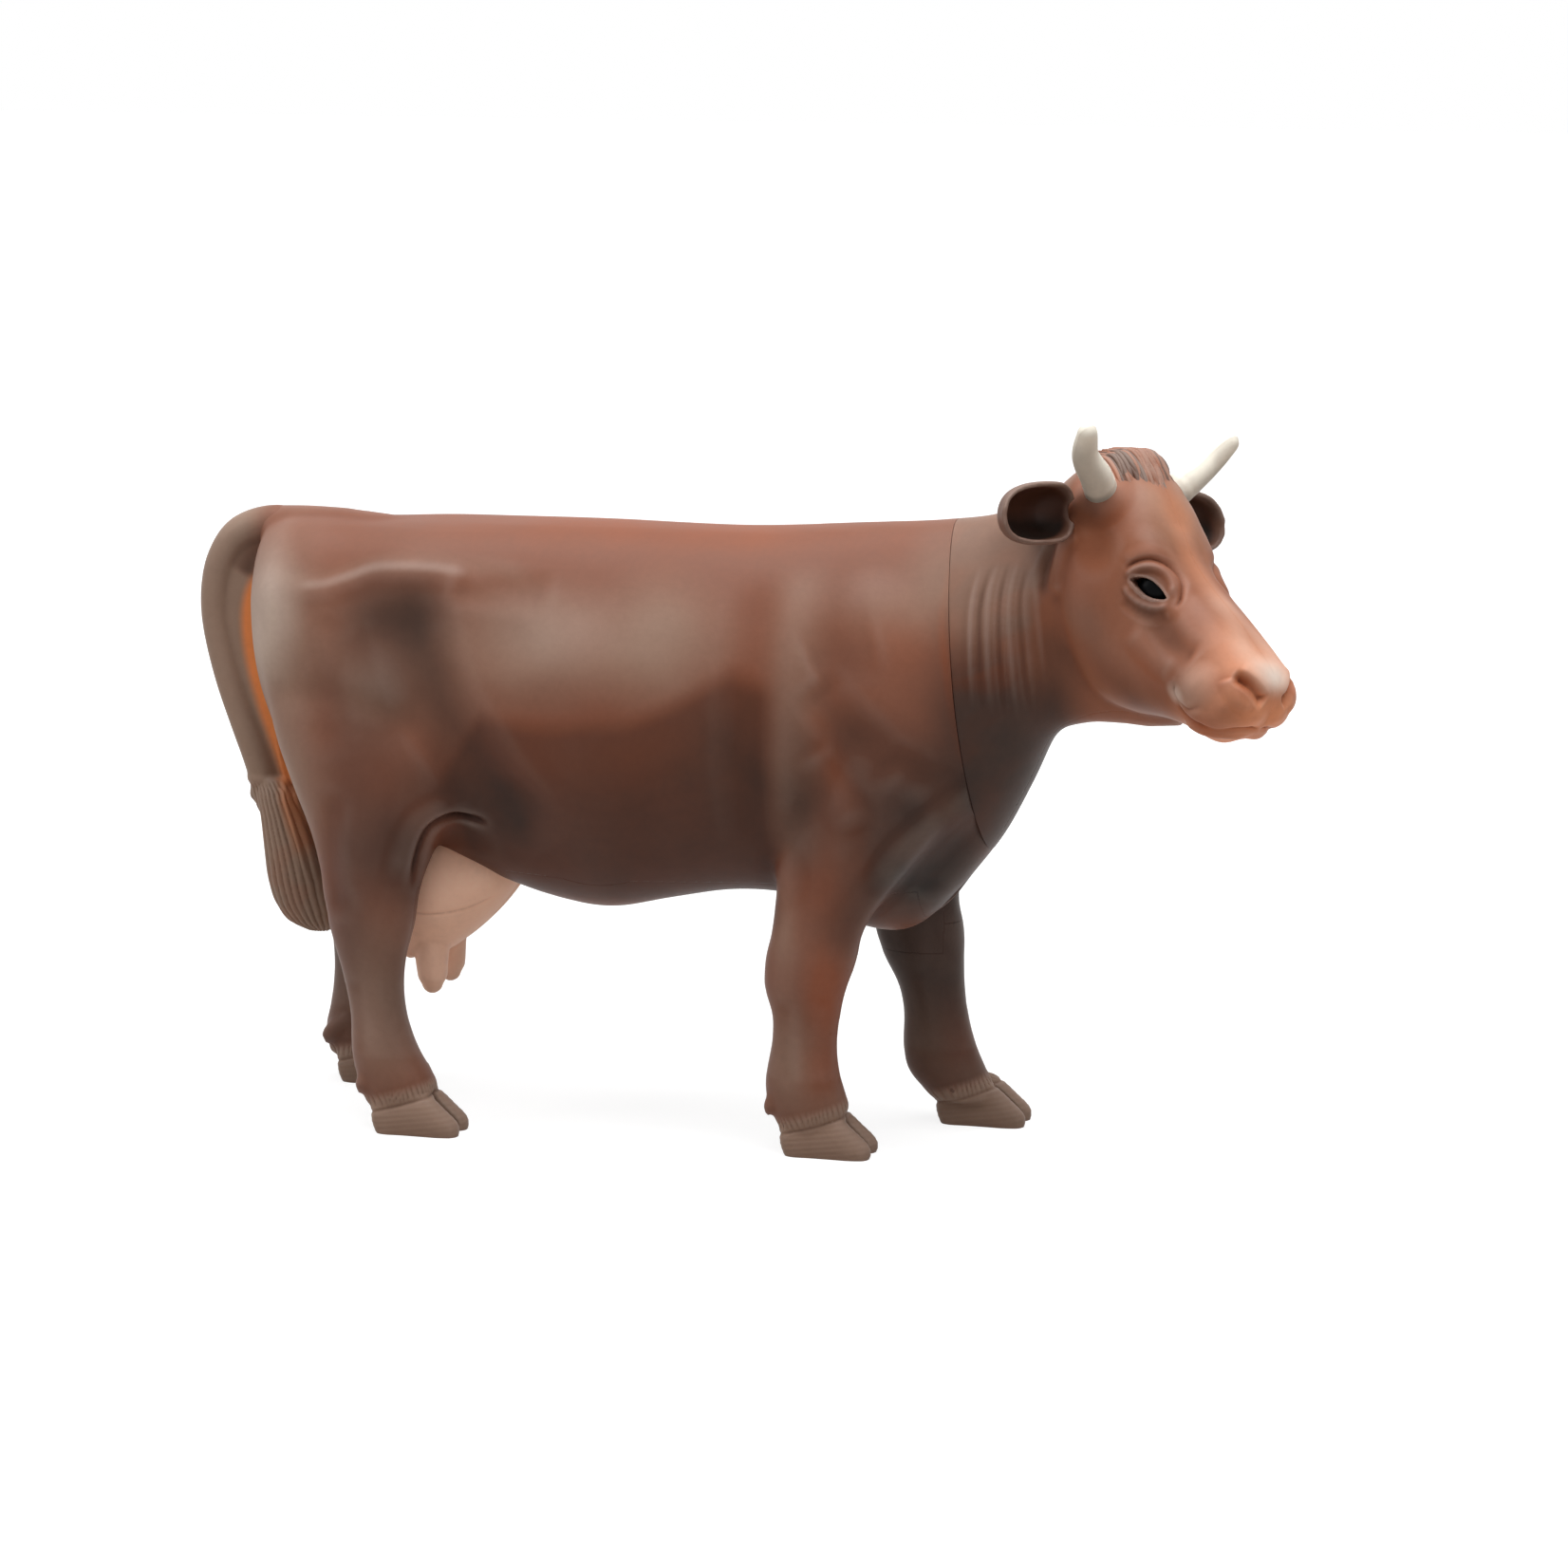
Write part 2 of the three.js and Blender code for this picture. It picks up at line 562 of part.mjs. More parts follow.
// Tail with its switch
function tailWeb(grow) {
  const outer = tailShares.slice(1).map(([x, , z]) => [x, z]);
  const outline = new THREE.Shape([...outer, ...webShares.slice().reverse()].map(([x, z]) => {
    return new THREE.Vector2(x * bodyLength, z * withersHeight);
  }));
  const depth = webThickness + 2 * grow;
  const plate = new THREE.ExtrudeGeometry(outline, { depth, bevelEnabled: false });
  return solidOf(plate.rotateX(Math.PI / 2).translate(0, depth / 2, 0));
}

function tail(grow = 0) {
  const line = tailShares.map(([x, y, z]) => {
    return new THREE.Vector3(x * bodyLength, y * bodyWidth, z * withersHeight);
  });
  const stem = taper(line, tailRootRadius, tailTipRadius, tailSegments, slimSides, grow).add(tailWeb(grow));
  if (grow > 0) return stem;
  const brush = loft(sized(switchShares, withersHeight, bodyLength, bodyWidth), {
    points: legPoints, steps: 1, place: (z, y, x) => new THREE.Vector3(x, y, z),
  });
  return stem.add(brush);
}

// Post between the halves of a shell: a socket on the right and a peg on the left
function shellPost([xShare, zShare], side) {
  const at = (y) => new THREE.Vector3(xShare * bodyLength, y, zShare * withersHeight);
  const post = rod(postRadius, at(side * bodyWidth / 2), at(0), slimSides);
  const peg = rod(pegRadius, at(wallThickness), at(-pegLength), slimSides);
  const socket = rod(pegRadius + fitGap, at(wallThickness), at(-pegLength - fitGap), slimSides);
  return side > 0 ? post.add(peg) : post.subtract(socket);
}

// The whole outer forms and the rooms inside them
const spineRows = sized(spineShares, bodyLength, withersHeight, bodyWidth);
const headRows = sized(headShares, headLength, headLength, headLength);
const spineOuter = loft(spineRows, { points: bodyPoints, steps: 1 });
const spineInner = loft(spineRows, { points: cavityPoints, steps: 1, inset: wallThickness });
const headOuter = loft(headRows, { points: headPoints, steps: 1, place: onHead });
const headInner = loft(headRows, { points: cavityPoints, steps: 1, inset: wallThickness, place: onHead });
const headCover = loft(headRows, { points: headPoints, steps: 1, inset: -fitGap, place: onHead });

const bodyForm = joined([spineOuter, ...legs.map(legSolid)])
  .intersect(neckBlock(-far, bodyFace, far, far));
const bodyRoom = spineInner.intersect(neckBlock(-far, bodyWallRear, far, far));
const headForm = spineOuter.intersect(neckBlock(halfGap, far, far, far)).add(headOuter);
const headRoom = spineInner.intersect(neckBlock(headWallFront, far, far, far)).add(headInner);

// Body pieces
const panRegion = box(
  panRearShare * bodyLength, panFrontShare * bodyLength,
  -panHalfShare * bodyWidth, panHalfShare * bodyWidth,
  foreInnerShare * withersHeight, panTopShare * withersHeight);
const bodyCuts = [
  bodyRoom, panRegion, ...legs.map(innerRegion), udder(fitGap), tail(fitGap),
  rod(shaftRadius + fitGap, alongNeck(collarFace), alongNeck(halfGap)),
];
const bodyWalls = without(bodyForm, bodyCuts);

function bodyShell(side) {
  const posts = postShares.map((place) => shellPost(place, side).intersect(bodyForm));
  const half = box(-far, far, Math.min(side, 0) * far, Math.max(side, 0) * far, -far, far);
  const walls = joined([bodyWalls.intersect(half), ...posts]);
  return side < 0 ? walls.add(stopLug()) : walls;
}

function bellyPan() {
  return without(bodyForm.intersect(panRegion), [bodyRoom, udder(fitGap)]);
}

function innerLeg(leg) {
  return bodyForm.intersect(innerRegion(leg)).subtract(udder(fitGap));
}

// Head pieces
const headCuts = [
  headRoom, neckBlock(bodyFace, keyFace, keySide + 2 * fitGap, keySide + 2 * fitGap),
  ...[-1, 1].flatMap((side) => [horn(side, fitGap), ear(side, fitGap), eye(side, fitGap)]),
];
const headWalls = without(headForm, headCuts);

// The head's halves part along y = 0 in the neck and along the turned head's middle.
function headHalf(side) {
  const ahead = new THREE.Vector3(far, 0, 0).applyQuaternion(yawTurn).add(headOrigin);
  const bendPlace = alongNeck(keyFace + collarThickness).x;
  const line = [[-far, 0], [bendPlace, 0], [headOrigin.x, headOrigin.y], [ahead.x, ahead.y]];
  const outline = new THREE.Shape();
  outline.moveTo(-far, side * far);
  for (const [x, y] of line) outline.lineTo(x, y + side * fitGap / 2);
  outline.lineTo(ahead.x, side * far);
  return solidOf(new THREE.ExtrudeGeometry(outline, { depth: far, bevelEnabled: false }));
}

function headShell(side) {
  return headWalls.intersect(headHalf(side));
}

function tuft() {
  const size = new THREE.Vector3(...tuftSizeShares).multiplyScalar(headLength);
  const matrix = new THREE.Matrix4().compose(onHeadShares(tuftPlaceShares), headTurn, size);
  const block = solidOf(new THREE.SphereGeometry(1, roundSides, slimSides), matrix);
  return without(block, [headCover, horn(-1, fitGap), horn(1, fitGap)]);
}

function piece(name, solid, look) {
  const mesh = new THREE.Mesh(geometryOf(solid), new THREE.MeshStandardMaterial(look));
  mesh.name = name;
  return mesh;
}

const body = new THREE.Group();
body.add(piece('body_shell_right', bodyShell(-1), materials.hide));
body.add(piece('body_shell_left', bodyShell(1), materials.hide));
body.add(piece('belly_pan', bellyPan(), materials.belly));
for (const leg of legs) body.add(piece(`inner_leg_${leg.name}`, innerLeg(leg), materials.belly));
body.add(piece('udder', udder(), materials.udder));
body.add(piece('tail', tail(), materials.hide));

const head = new THREE.Group();
head.add(piece('neck_swivel', neckSwivel(), materials.swivel));
for (const [name, side] of [['right', -1], ['left', 1]]) {
  head.add(piece(`head_shell_${name}`, headShell(side), materials.face));
  head.add(piece(`horn_${name}`, horn(side), materials.horn));
  head.add(piece(`ear_${name}`, ear(side), materials.hide));
  head.add(piece(`eye_${name}`, eye(side), materials.eye));
}
head.add(piece('poll_tuft', tuft(), materials.face));

// The figure stands on z = 0 with its box centred on the origin
const figure = new THREE.Group();
figure.add(body, head);
const extent = new THREE.Box3().setFromObject(figure);
const centre = extent.getCenter(new THREE.Vector3());
figure.position.set(-centre.x, -centre.y, -extent.min.z);

export default figure;
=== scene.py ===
"""A standing toy cow in moulded, airbrushed plastic, dressed over its CAD model.

The trunk, legs and head are clay: tubes shaped by section tables, joined, remeshed and carved
with strokes, then cut along the same parting planes as the CAD. Lengths are in millimetres in the
figure's own frame until a piece is set down, which scales it to metres and moves it to its place.
"""

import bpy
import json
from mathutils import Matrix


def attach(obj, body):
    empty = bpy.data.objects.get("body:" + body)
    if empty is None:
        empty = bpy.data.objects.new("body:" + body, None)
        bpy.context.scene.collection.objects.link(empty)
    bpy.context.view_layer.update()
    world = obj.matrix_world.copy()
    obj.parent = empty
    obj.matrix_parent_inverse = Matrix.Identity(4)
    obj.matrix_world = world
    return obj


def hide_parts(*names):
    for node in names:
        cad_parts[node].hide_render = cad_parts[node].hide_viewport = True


bl_info = {
    "name": "Toy Cow Dressing",
    "version": (1, 0, 0),
    "blender": (4, 5, 0),
    "location": "3D View > Sidebar > Toy Cow",
    "description": "Models the hide, head, horns, ears, tuft, udder and tail of a toy cow over its CAD model",
    "category": "Object",
}

import json
import math
from collections import namedtuple

import bpy
import numpy as np
from bpy.props import FloatProperty, FloatVectorProperty, PointerProperty
from mathutils import Matrix, Vector

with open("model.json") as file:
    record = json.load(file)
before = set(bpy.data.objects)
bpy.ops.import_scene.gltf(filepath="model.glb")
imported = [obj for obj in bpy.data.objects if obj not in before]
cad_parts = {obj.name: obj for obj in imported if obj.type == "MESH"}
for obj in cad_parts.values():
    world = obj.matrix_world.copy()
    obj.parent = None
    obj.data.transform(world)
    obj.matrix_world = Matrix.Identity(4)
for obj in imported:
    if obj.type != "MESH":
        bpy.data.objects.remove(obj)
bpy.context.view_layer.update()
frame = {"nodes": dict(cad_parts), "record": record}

MM = 0.001
# the neck seam's plane, in the figure's own frame
SEAM_POINT = np.array([41.202, 0.0, 78.015])
SEAM_NORMAL = np.array([0.99317, 0.0, 0.11667])
SEAM_GAP = 0.10
SEAM_SPARE = 6  # how far the clay runs past the seam until it is cut there
HINGE = np.array(frame["record"]["behaviour"]["joints"][0]["pos_m"]) / MM
SHIFT = HINGE - SEAM_POINT  # from the figure's own frame to the CAD's
ON_PLANE = 0.01  # a point this near to a parting plane lies in it
CRUDE_HIDE_GRAIN, CRUDE_FACE_GRAIN = 0.9, 0.8  # facets of the first, coarse skins
UDDER_GRAIN, TAIL_GRAIN, EAR_GRAIN = 0.38, 0.36, 0.28
SMOOTH_ANGLE = 50
SIDES = ((-1, "right"), (1, "left"))

# ---------------------------------------------------------------- section tables, in shares

# place along the length, lowest, highest, half width, sideways shift, width at the low and high side, squareness;
# HEAD, in shares of its own length, and UDDER have the same columns
TRUNK = [
    (-0.443, 0.800, 0.905, 0.08, 0, 1, 1, 1), (-0.434, 0.695, 0.955, 0.23, 0, 1, 1, 1),
    (-0.418, 0.610, 0.973, 0.33, 0, 0.9, 1, 0.85), (-0.386, 0.530, 0.979, 0.39, 0, 0.85, 1, 0.75),
    (-0.335, 0.485, 0.974, 0.43, 0, 0.85, 1, 0.7), (-0.275, 0.450, 0.976, 0.44, 0, 0.85, 1.04, 0.62),
    (-0.215, 0.404, 0.979, 0.45, 0, 0.85, 0.96, 0.66), (-0.160, 0.373, 0.982, 0.475, 0, 0.88, 0.84, 0.72),
    (-0.110, 0.361, 0.982, 0.5, 0, 0.9, 0.78, 0.74), (-0.050, 0.382, 0.980, 0.495, 0, 0.9, 0.76, 0.74),
    (0.010, 0.401, 0.980, 0.48, 0, 0.9, 0.76, 0.74), (0.065, 0.394, 0.985, 0.45, 0, 0.85, 0.78, 0.76),
    (0.120, 0.350, 0.993, 0.43, 0, 0.8, 0.76, 0.8), (0.160, 0.350, 0.998, 0.41, 0, 0.75, 0.74, 0.8),
    (0.190, 0.388, 1.003, 0.385, 0, 0.75, 0.72, 0.82), (0.222, 0.453, 1.010, 0.355, 0, 0.78, 0.74, 0.84),
    (0.248, 0.518, 1.022, 0.325, -0.01, 0.8, 0.76, 0.86), (0.272, 0.598, 1.040, 0.29, -0.035, 0.82, 0.8, 0.9),
    (0.292, 0.672, 1.060, 0.26, -0.06, 0.85, 0.85, 0.92), (0.318, 0.697, 1.070, 0.23, -0.095, 0.85, 0.9, 0.95),
    (0.350, 0.704, 1.060, 0.20, -0.155, 0.85, 0.9, 1), (0.385, 0.708, 0.980, 0.15, -0.235, 0.85, 0.9, 1),
    (0.415, 0.716, 0.900, 0.11, -0.30, 0.85, 0.9, 1),
]
# height, rear edge, front edge, half width, distance from the middle, share of the stance,
# width at the rear and at the front, squareness
FORE_LEG = [
    (0.040, 0.060, 0.118, 0.100, 0.275, 1, 1, 1, 0.85), (0.085, 0.048, 0.120, 0.115, 0.280, 0.88, 0.9, 1, 0.85),
    (0.120, 0.047, 0.115, 0.110, 0.290, 0.84, 0.9, 1, 0.9),
    (0.180, 0.053, 0.112, 0.098, 0.300, 0.78, 0.9, 0.95, 0.95),
    (0.225, 0.054, 0.115, 0.102, 0.305, 0.72, 0.95, 0.95, 0.95),
    (0.275, 0.047, 0.121, 0.120, 0.310, 0.65, 0.95, 1, 0.9),
    (0.325, 0.050, 0.129, 0.125, 0.310, 0.56, 0.95, 0.95, 0.9),
    (0.375, 0.055, 0.138, 0.125, 0.305, 0.45, 0.9, 0.9, 0.9),
    (0.440, 0.058, 0.163, 0.145, 0.290, 0.3, 0.9, 0.85, 0.85),
    (0.510, 0.060, 0.194, 0.175, 0.270, 0.13, 0.9, 0.8, 0.8),
    (0.590, 0.062, 0.213, 0.200, 0.240, 0, 0.9, 0.75, 0.75),
    (0.690, 0.062, 0.208, 0.200, 0.220, 0, 0.9, 0.75, 0.75), (0.780, 0.068, 0.185, 0.160, 0.200, 0, 0.9, 0.8, 0.85),
]
HIND_LEG = [
    (0.040, -0.318, -0.256, 0.100, 0.350, 1, 1, 1, 0.85), (0.085, -0.328, -0.257, 0.115, 0.350, 0.95, 0.9, 1, 0.85),
    (0.125, -0.333, -0.270, 0.110, 0.350, 0.85, 0.9, 1, 0.9),
    (0.190, -0.334, -0.282, 0.096, 0.350, 0.8, 0.9, 0.95, 0.95),
    (0.260, -0.342, -0.284, 0.098, 0.346, 0.74, 0.85, 0.95, 0.95),
    (0.330, -0.354, -0.276, 0.115, 0.342, 0.66, 0.75, 1, 0.95),
    (0.400, -0.360, -0.269, 0.135, 0.335, 0.55, 0.75, 1, 0.9),
    (0.475, -0.370, -0.252, 0.170, 0.315, 0.36, 0.85, 0.9, 0.85),
    (0.550, -0.388, -0.222, 0.205, 0.285, 0.17, 0.9, 0.8, 0.8),
    (0.640, -0.408, -0.205, 0.225, 0.250, 0, 0.95, 0.75, 0.75),
    (0.725, -0.420, -0.220, 0.200, 0.225, 0, 0.95, 0.75, 0.8),
    (0.810, -0.425, -0.245, 0.160, 0.200, 0, 0.95, 0.8, 0.9),
]
Leg = namedtuple("Leg", "name side stance hoof parting inner_top sections")
# side: -1 is the cow's right; stance: how far the foot is moved along; hoof: its middle; parting: the plane
# between the leg's halves; inner_top: how high the inner half reaches
LEGS = [
    Leg("right_fore", -1, 0.0, 0.103, 0.265, 0.333, FORE_LEG), Leg("left_fore", 1, 0.108, 0.211, 0.32, 0.333, FORE_LEG),
    Leg("right_hind", -1, 0.0, -0.27, 0.35, 0.4, HIND_LEG), Leg("left_hind", 1, -0.098, -0.363, 0.33, 0.4, HIND_LEG),
]
BETWEEN_LEGS = -20  # along the body, in millimetres: fore legs ahead of this, hind legs behind
CORONET_AT_HEEL, CORONET_RISE = 3.6, 0.3  # the top of the hoof, and how it rises towards the toe
CORONET_GROOVE, CLEFT_DEPTH = 0.22, 1.0
HIDE_LINE, LEG_LINE, FACE_LINE = 0.015, 0.02, 0.02  # how far the rims of the parting faces are drawn in
# the belly pan's box
BELLY_LOW, BELLY_HIGH = (-37.04, -14.03, 30), (33.64, 14.03, 44.63)
# place along the claw, lowest, highest, half width, in shares of the claw
CLAW = [
    (0, 0.25, 0.6, 0.2), (0.04, 0.04, 0.8, 0.4), (0.12, -0.2, 0.95, 0.48), (0.35, -0.2, 1.04, 0.5),
    (0.6, -0.2, 0.96, 0.5), (0.85, -0.2, 0.54, 0.42), (0.96, -0.1, 0.34, 0.28), (1, 0.06, 0.24, 0.1),
]
HEAD = [
    (-0.21, -0.18, 0.09, 0.10, 0, 1, 1, 1), (-0.17, -0.26, 0.17, 0.17, 0, 1, 1, 0.9),
    (-0.10, -0.32, 0.222, 0.205, 0, 0.9, 0.9, 0.75), (0, -0.36, 0.235, 0.217, 0, 0.85, 0.95, 0.62),
    (0.10, -0.39, 0.23, 0.222, 0, 0.75, 1, 0.56), (0.20, -0.41, 0.198, 0.226, 0, 0.68, 1.06, 0.52),
    (0.30, -0.415, 0.163, 0.220, 0, 0.62, 1.08, 0.52), (0.41, -0.40, 0.156, 0.208, 0, 0.58, 1, 0.58),
    (0.54, -0.33, 0.166, 0.196, 0, 0.6, 1, 0.6), (0.65, -0.24, 0.172, 0.190, 0, 0.7, 1, 0.64),
    (0.74, -0.180, 0.175, 0.188, 0, 0.85, 1, 0.66), (0.82, -0.142, 0.168, 0.186, 0, 0.9, 1, 0.7),
    (0.88, -0.085, 0.125, 0.155, 0, 0.9, 0.95, 0.8), (0.915, -0.025, 0.05, 0.07, 0, 1, 1, 1),
]
UDDER = [
    (-0.315, 0.262, 0.42, 0.12, 0, 1, 1, 1), (-0.305, 0.252, 0.47, 0.2, 0, 0.9, 1, 0.9),
    (-0.275, 0.262, 0.5, 0.245, 0, 0.85, 1, 0.8), (-0.240, 0.305, 0.5, 0.23, 0, 0.85, 1, 0.8),
    (-0.210, 0.362, 0.47, 0.18, 0, 0.9, 1, 0.9), (-0.195, 0.400, 0.45, 0.1, 0, 1, 1, 1),
]
TAIL = [
    (-0.395, 0, 0.940), (-0.428, 0, 0.956), (-0.461, 0, 0.939), (-0.479, 0, 0.897), (-0.4865, 0, 0.845),
    (-0.486, 0, 0.785), (-0.4755, -0.01, 0.705), (-0.461, -0.02, 0.630), (-0.447, -0.035, 0.565), (-0.437, -0.04, 0.50),
]
# height, rear edge, front edge, half width, distance from the middle
SWITCH = [
    (0.290, -0.400, -0.380, 0.03, -0.05), (0.302, -0.415, -0.374, 0.06, -0.05), (0.330, -0.429, -0.372, 0.08, -0.05),
    (0.375, -0.437, -0.376, 0.1, -0.05), (0.430, -0.440, -0.388, 0.11, -0.05), (0.480, -0.443, -0.400, 0.105, -0.045),
    (0.520, -0.448, -0.410, 0.085, -0.038), (0.540, -0.450, -0.422, 0.05, -0.035),
]
# height, edge at the tail, edge at the rump
WEB = [
    (0.925, -0.470, -0.405), (0.86, -0.4855, -0.420), (0.75, -0.481, -0.417), (0.65, -0.465, -0.403),
    (0.58, -0.450, -0.387), (0.54, -0.440, -0.376), (0.50, -0.430, -0.370), (0.46, -0.420, -0.374),
]
WEB_PLACE, WEB_HALF, WEB_SQUARE = -0.3, 1.9, 0.6  # across: its middle and half thickness, in millimetres; squareness
# place along, how much shorter than the longest
TEATS = [(-0.317, 3.6), (-0.279, 0)]
TEAT_APART, TEAT_TOP = 0.1, 0.305
# along, side and up in the head's own frame, as shares of its length
HORN = [(-0.026, 0.180, 0.138), (-0.044, 0.236, 0.185), (-0.074, 0.316, 0.244), (-0.092, 0.366, 0.330)]
# share along the ear, half width, depth of the cup
EAR = [
    (0, 0.034, 0.02), (0.06, 0.064, 0.06), (0.16, 0.086, 0.098), (0.32, 0.096, 0.115), (0.5, 0.097, 0.115),
    (0.72, 0.089, 0.098), (0.86, 0.072, 0.068), (0.94, 0.05, 0.03), (1, 0.016, 0.003),
]


# ---------------------------------------------------------------- sizes and colours a user may change

def length(name, value, text):
    return FloatProperty(name=name, description=text, default=value, min=0.0001, subtype="DISTANCE", unit="LENGTH")


def colour(name, red, green, blue, text):
    """A colour given as the eye sees it, 0 to 255, and kept as linear light."""
    linear = [math.pow((c / 255 + 0.055) / 1.055, 2.4) for c in (red, green, blue)]
    return FloatVectorProperty(name=name, description=text, default=(*linear, 1.0), size=4, min=0, max=1,
                               subtype="COLOR")


class ToyCowSizes(bpy.types.PropertyGroup):
    body_length: length("Body length", 0.189, "From the rump to the muzzle, as the section tables take it")
    withers_height: length("Withers height", 0.105, "From the floor to the top of the back")
    body_width: length("Body width", 0.046, "Across the barrel")
    head_length: length("Head length", 0.048, "From the poll to the muzzle")
    claw_length: length("Claw length", 0.0155, "One half of a hoof, from heel to toe")
    claw_height: length("Claw height", 0.0076, "One half of a hoof, up to the coronet")
    claw_width: length("Claw width", 0.0049, "One half of a hoof, across")
    eye_radius: length("Eye radius", 0.0033, "Half the length of the glossy eye")
    horn_radius: length("Horn radius", 0.0029, "Half the thickness of a horn at its root")
    hide_grain: length("Hide clay grain", 0.00046, "Size of the facets that the hide is carved from")
    face_grain: length("Face clay grain", 0.00036, "Size of the facets that the face is carved from")
    relief: FloatProperty(name="Relief", description="Depth of the carved folds, wrinkles and hair",
                          default=1.0, min=0, max=2, subtype="FACTOR")


class ToyCowColours(bpy.types.PropertyGroup):
    hide: colour("Hide", 126, 79, 60, "The brown of the moulded hide")
    # Umber is dark spray and also painted shade: in hollows and creases, under the chest, brisket and throat, on the
    # far legs, in the eye holes, ear cups and tuft, and at the horns' roots
    umber: colour("Umber", 36, 26, 21, "The dark spray on shoulders, belly and legs")
    rust: colour("Rust", 152, 78, 42, "The warm spray in hollows and on the knees")
    # Grey overspray, and painted sheen on the rump, the flank, the top of the neck, the tail's rear edge and along
    # ridges
    ash: colour("Ash", 150, 124, 108, "The grey overspray on rump and flank")
    fawn: colour("Fawn", 148, 94, 70, "The warmer, paler brown of the face")
    muzzle: colour("Muzzle", 230, 153, 112, "The pale pink of the muzzle and nose")
    # Painted highlights: whitish light on ridges, rims and locks, and the white tip of the muzzle
    frost: colour("Frost", 236, 222, 210, "The worn, whitish edges and the tip of the muzzle")
    udder: colour("Udder", 255, 212, 188, "The pink of the udder and teats")
    horn: colour("Horn", 246, 240, 226, "Ivory")
    hoof: colour("Hoof", 146, 120, 104, "The greyer brown of the hooves")
    tan: colour("Tan", 232, 138, 74, "The light orange between the tail and the rump")
    tail: colour("Tail", 146, 122, 106, "The greyer brown of the tail")
    eye: colour("Eye", 5, 7, 10, "Glossy black")
    collar: colour("Collar", 62, 50, 44, "The dark plastic inside the neck seam")


def sizes():
    return bpy.context.scene.toy_cow_sizes


def tints():
    return bpy.context.scene.toy_cow_colours


def mm(name):
    return getattr(sizes(), name) / MM


# ---------------------------------------------------------------- working with meshes

def hold(obj):
    """Only this object is selected, and it is the active one."""
    if bpy.context.object and bpy.context.object.mode != "OBJECT":
        bpy.ops.object.mode_set(mode="OBJECT")
    bpy.ops.object.select_all(action="DESELECT")
    obj.select_set(True)
    bpy.context.view_layer.objects.active = obj


def named(obj, name):
    obj.name = obj.data.name = name
    return obj


def fresh(name):
    """The primitive that was just added, under its name."""
    return named(bpy.context.object, name)


def copied(obj, name):
    twin = obj.copy()
    twin.data = obj.data.copy()
    named(twin, name)
    bpy.context.scene.collection.objects.link(twin)
    return twin


def points(obj):
    flat = np.empty(len(obj.data.vertices) * 3)
    obj.data.vertices.foreach_get("co", flat)
    return flat.reshape(-1, 3)


def set_points(obj, places):
    obj.data.vertices.foreach_set("co", np.ascontiguousarray(places, dtype=np.float32).ravel())
    obj.data.update()


def normals(obj):
    flat = np.empty(len(obj.data.vertices) * 3, dtype=np.float32)
    obj.data.vertex_normals.foreach_get("vector", flat)
    return flat.reshape(-1, 3).astype(float)


def edges(obj):
    flat = np.empty(len(obj.data.edges) * 2, dtype=np.int32)
    obj.data.edges.foreach_get("vertices", flat)
    return flat.reshape(-1, 2)


def relaxed(values, pairs, rounds, weight=0.5):
    """Values at the vertices, each drawn towards the mean of its neighbours."""
    values = np.array(values, float)
    single = values.ndim == 1
    if single:
        values = values[:, None]
    count = len(values)
    first, second = pairs[:, 0], pairs[:, 1]
    share = np.maximum(np.bincount(first, minlength=count) + np.bincount(second, minlength=count), 1)
    for _ in range(rounds):
        for column in range(values.shape[1]):
            v = values[:, column]
            near = np.bincount(first, v[second], count) + np.bincount(second, v[first], count)
            values[:, column] = v + weight * (near / share - v)
    return values[:, 0] if single else values


def evened(obj, rounds, share):
    """Creases rounded off without shrinking the shape, as far as each place's share says."""
    here, pairs = points(obj), edges(obj)
    calm = here
    for _ in range(rounds):
        calm = relaxed(relaxed(calm, pairs, 1, 0.55), pairs, 1, -0.57)
    set_points(obj, here + (calm - here) * share(here)[:, None])


def apply_modifier(obj, kind, **settings):
    hold(obj)
    modifier = obj.modifiers.new(kind.title(), kind)
    for name, value in settings.items():
        setattr(modifier, name, value)
    if bpy.ops.object.modifier_apply(modifier=modifier.name) != {"FINISHED"}:
        raise RuntimeError(f"{kind} could not be applied to {obj.name}")


def joined(objects, name):
    hold(objects[0])
    for other in objects[1:]:
        other.select_set(True)
    bpy.ops.object.join()
    return fresh(name)


def remeshed(obj, grain, smoothing):
    """One skin round all the joined shapes, in even facets."""
    apply_modifier(obj, "REMESH", mode="VOXEL", voxel_size=grain)
    set_points(obj, relaxed(points(obj), edges(obj), smoothing))


def refined(obj, chosen):
    """The faces whose middles are chosen get half the facet size."""
    hold(obj)
    bpy.ops.object.mode_set(mode="EDIT")
    bpy.ops.mesh.select_mode(type="FACE")
    bpy.ops.mesh.select_all(action="DESELECT")
    bpy.ops.object.mode_set(mode="OBJECT")
    faces = obj.data.polygons
    flat = np.empty(len(faces) * 3)
    faces.foreach_get("center", flat)
    faces.foreach_set("select", np.ascontiguousarray(chosen(flat.reshape(-1, 3))))
    bpy.ops.object.mode_set(mode="EDIT")
    bpy.ops.mesh.subdivide(number_cuts=1, smoothness=0)
    bpy.ops.object.mode_set(mode="OBJECT")


def sliced(obj, place, direction):
    """Cut flat and closed. What lies ahead of the plane goes."""
    hold(obj)
    bpy.ops.object.mode_set(mode="EDIT")
    bpy.ops.mesh.select_mode(type="VERT")
    bpy.ops.mesh.select_all(action="SELECT")
    bpy.ops.mesh.bisect(plane_co=tuple(place), plane_no=tuple(direction), use_fill=True, clear_outer=True,
                        threshold=0.0001)
    bpy.ops.object.mode_set(mode="OBJECT")


def box_tool(low, high):
    middle = [(a + b) / 2 for a, b in zip(low, high)]
    bpy.ops.object.select_all(action="DESELECT")
    bpy.ops.mesh.primitive_cube_add(size=1, location=middle, scale=[b - a for a, b in zip(low, high)])
    tool = fresh("box_tool")
    bpy.ops.object.transform_apply(location=True, rotation=True, scale=True)
    return tool


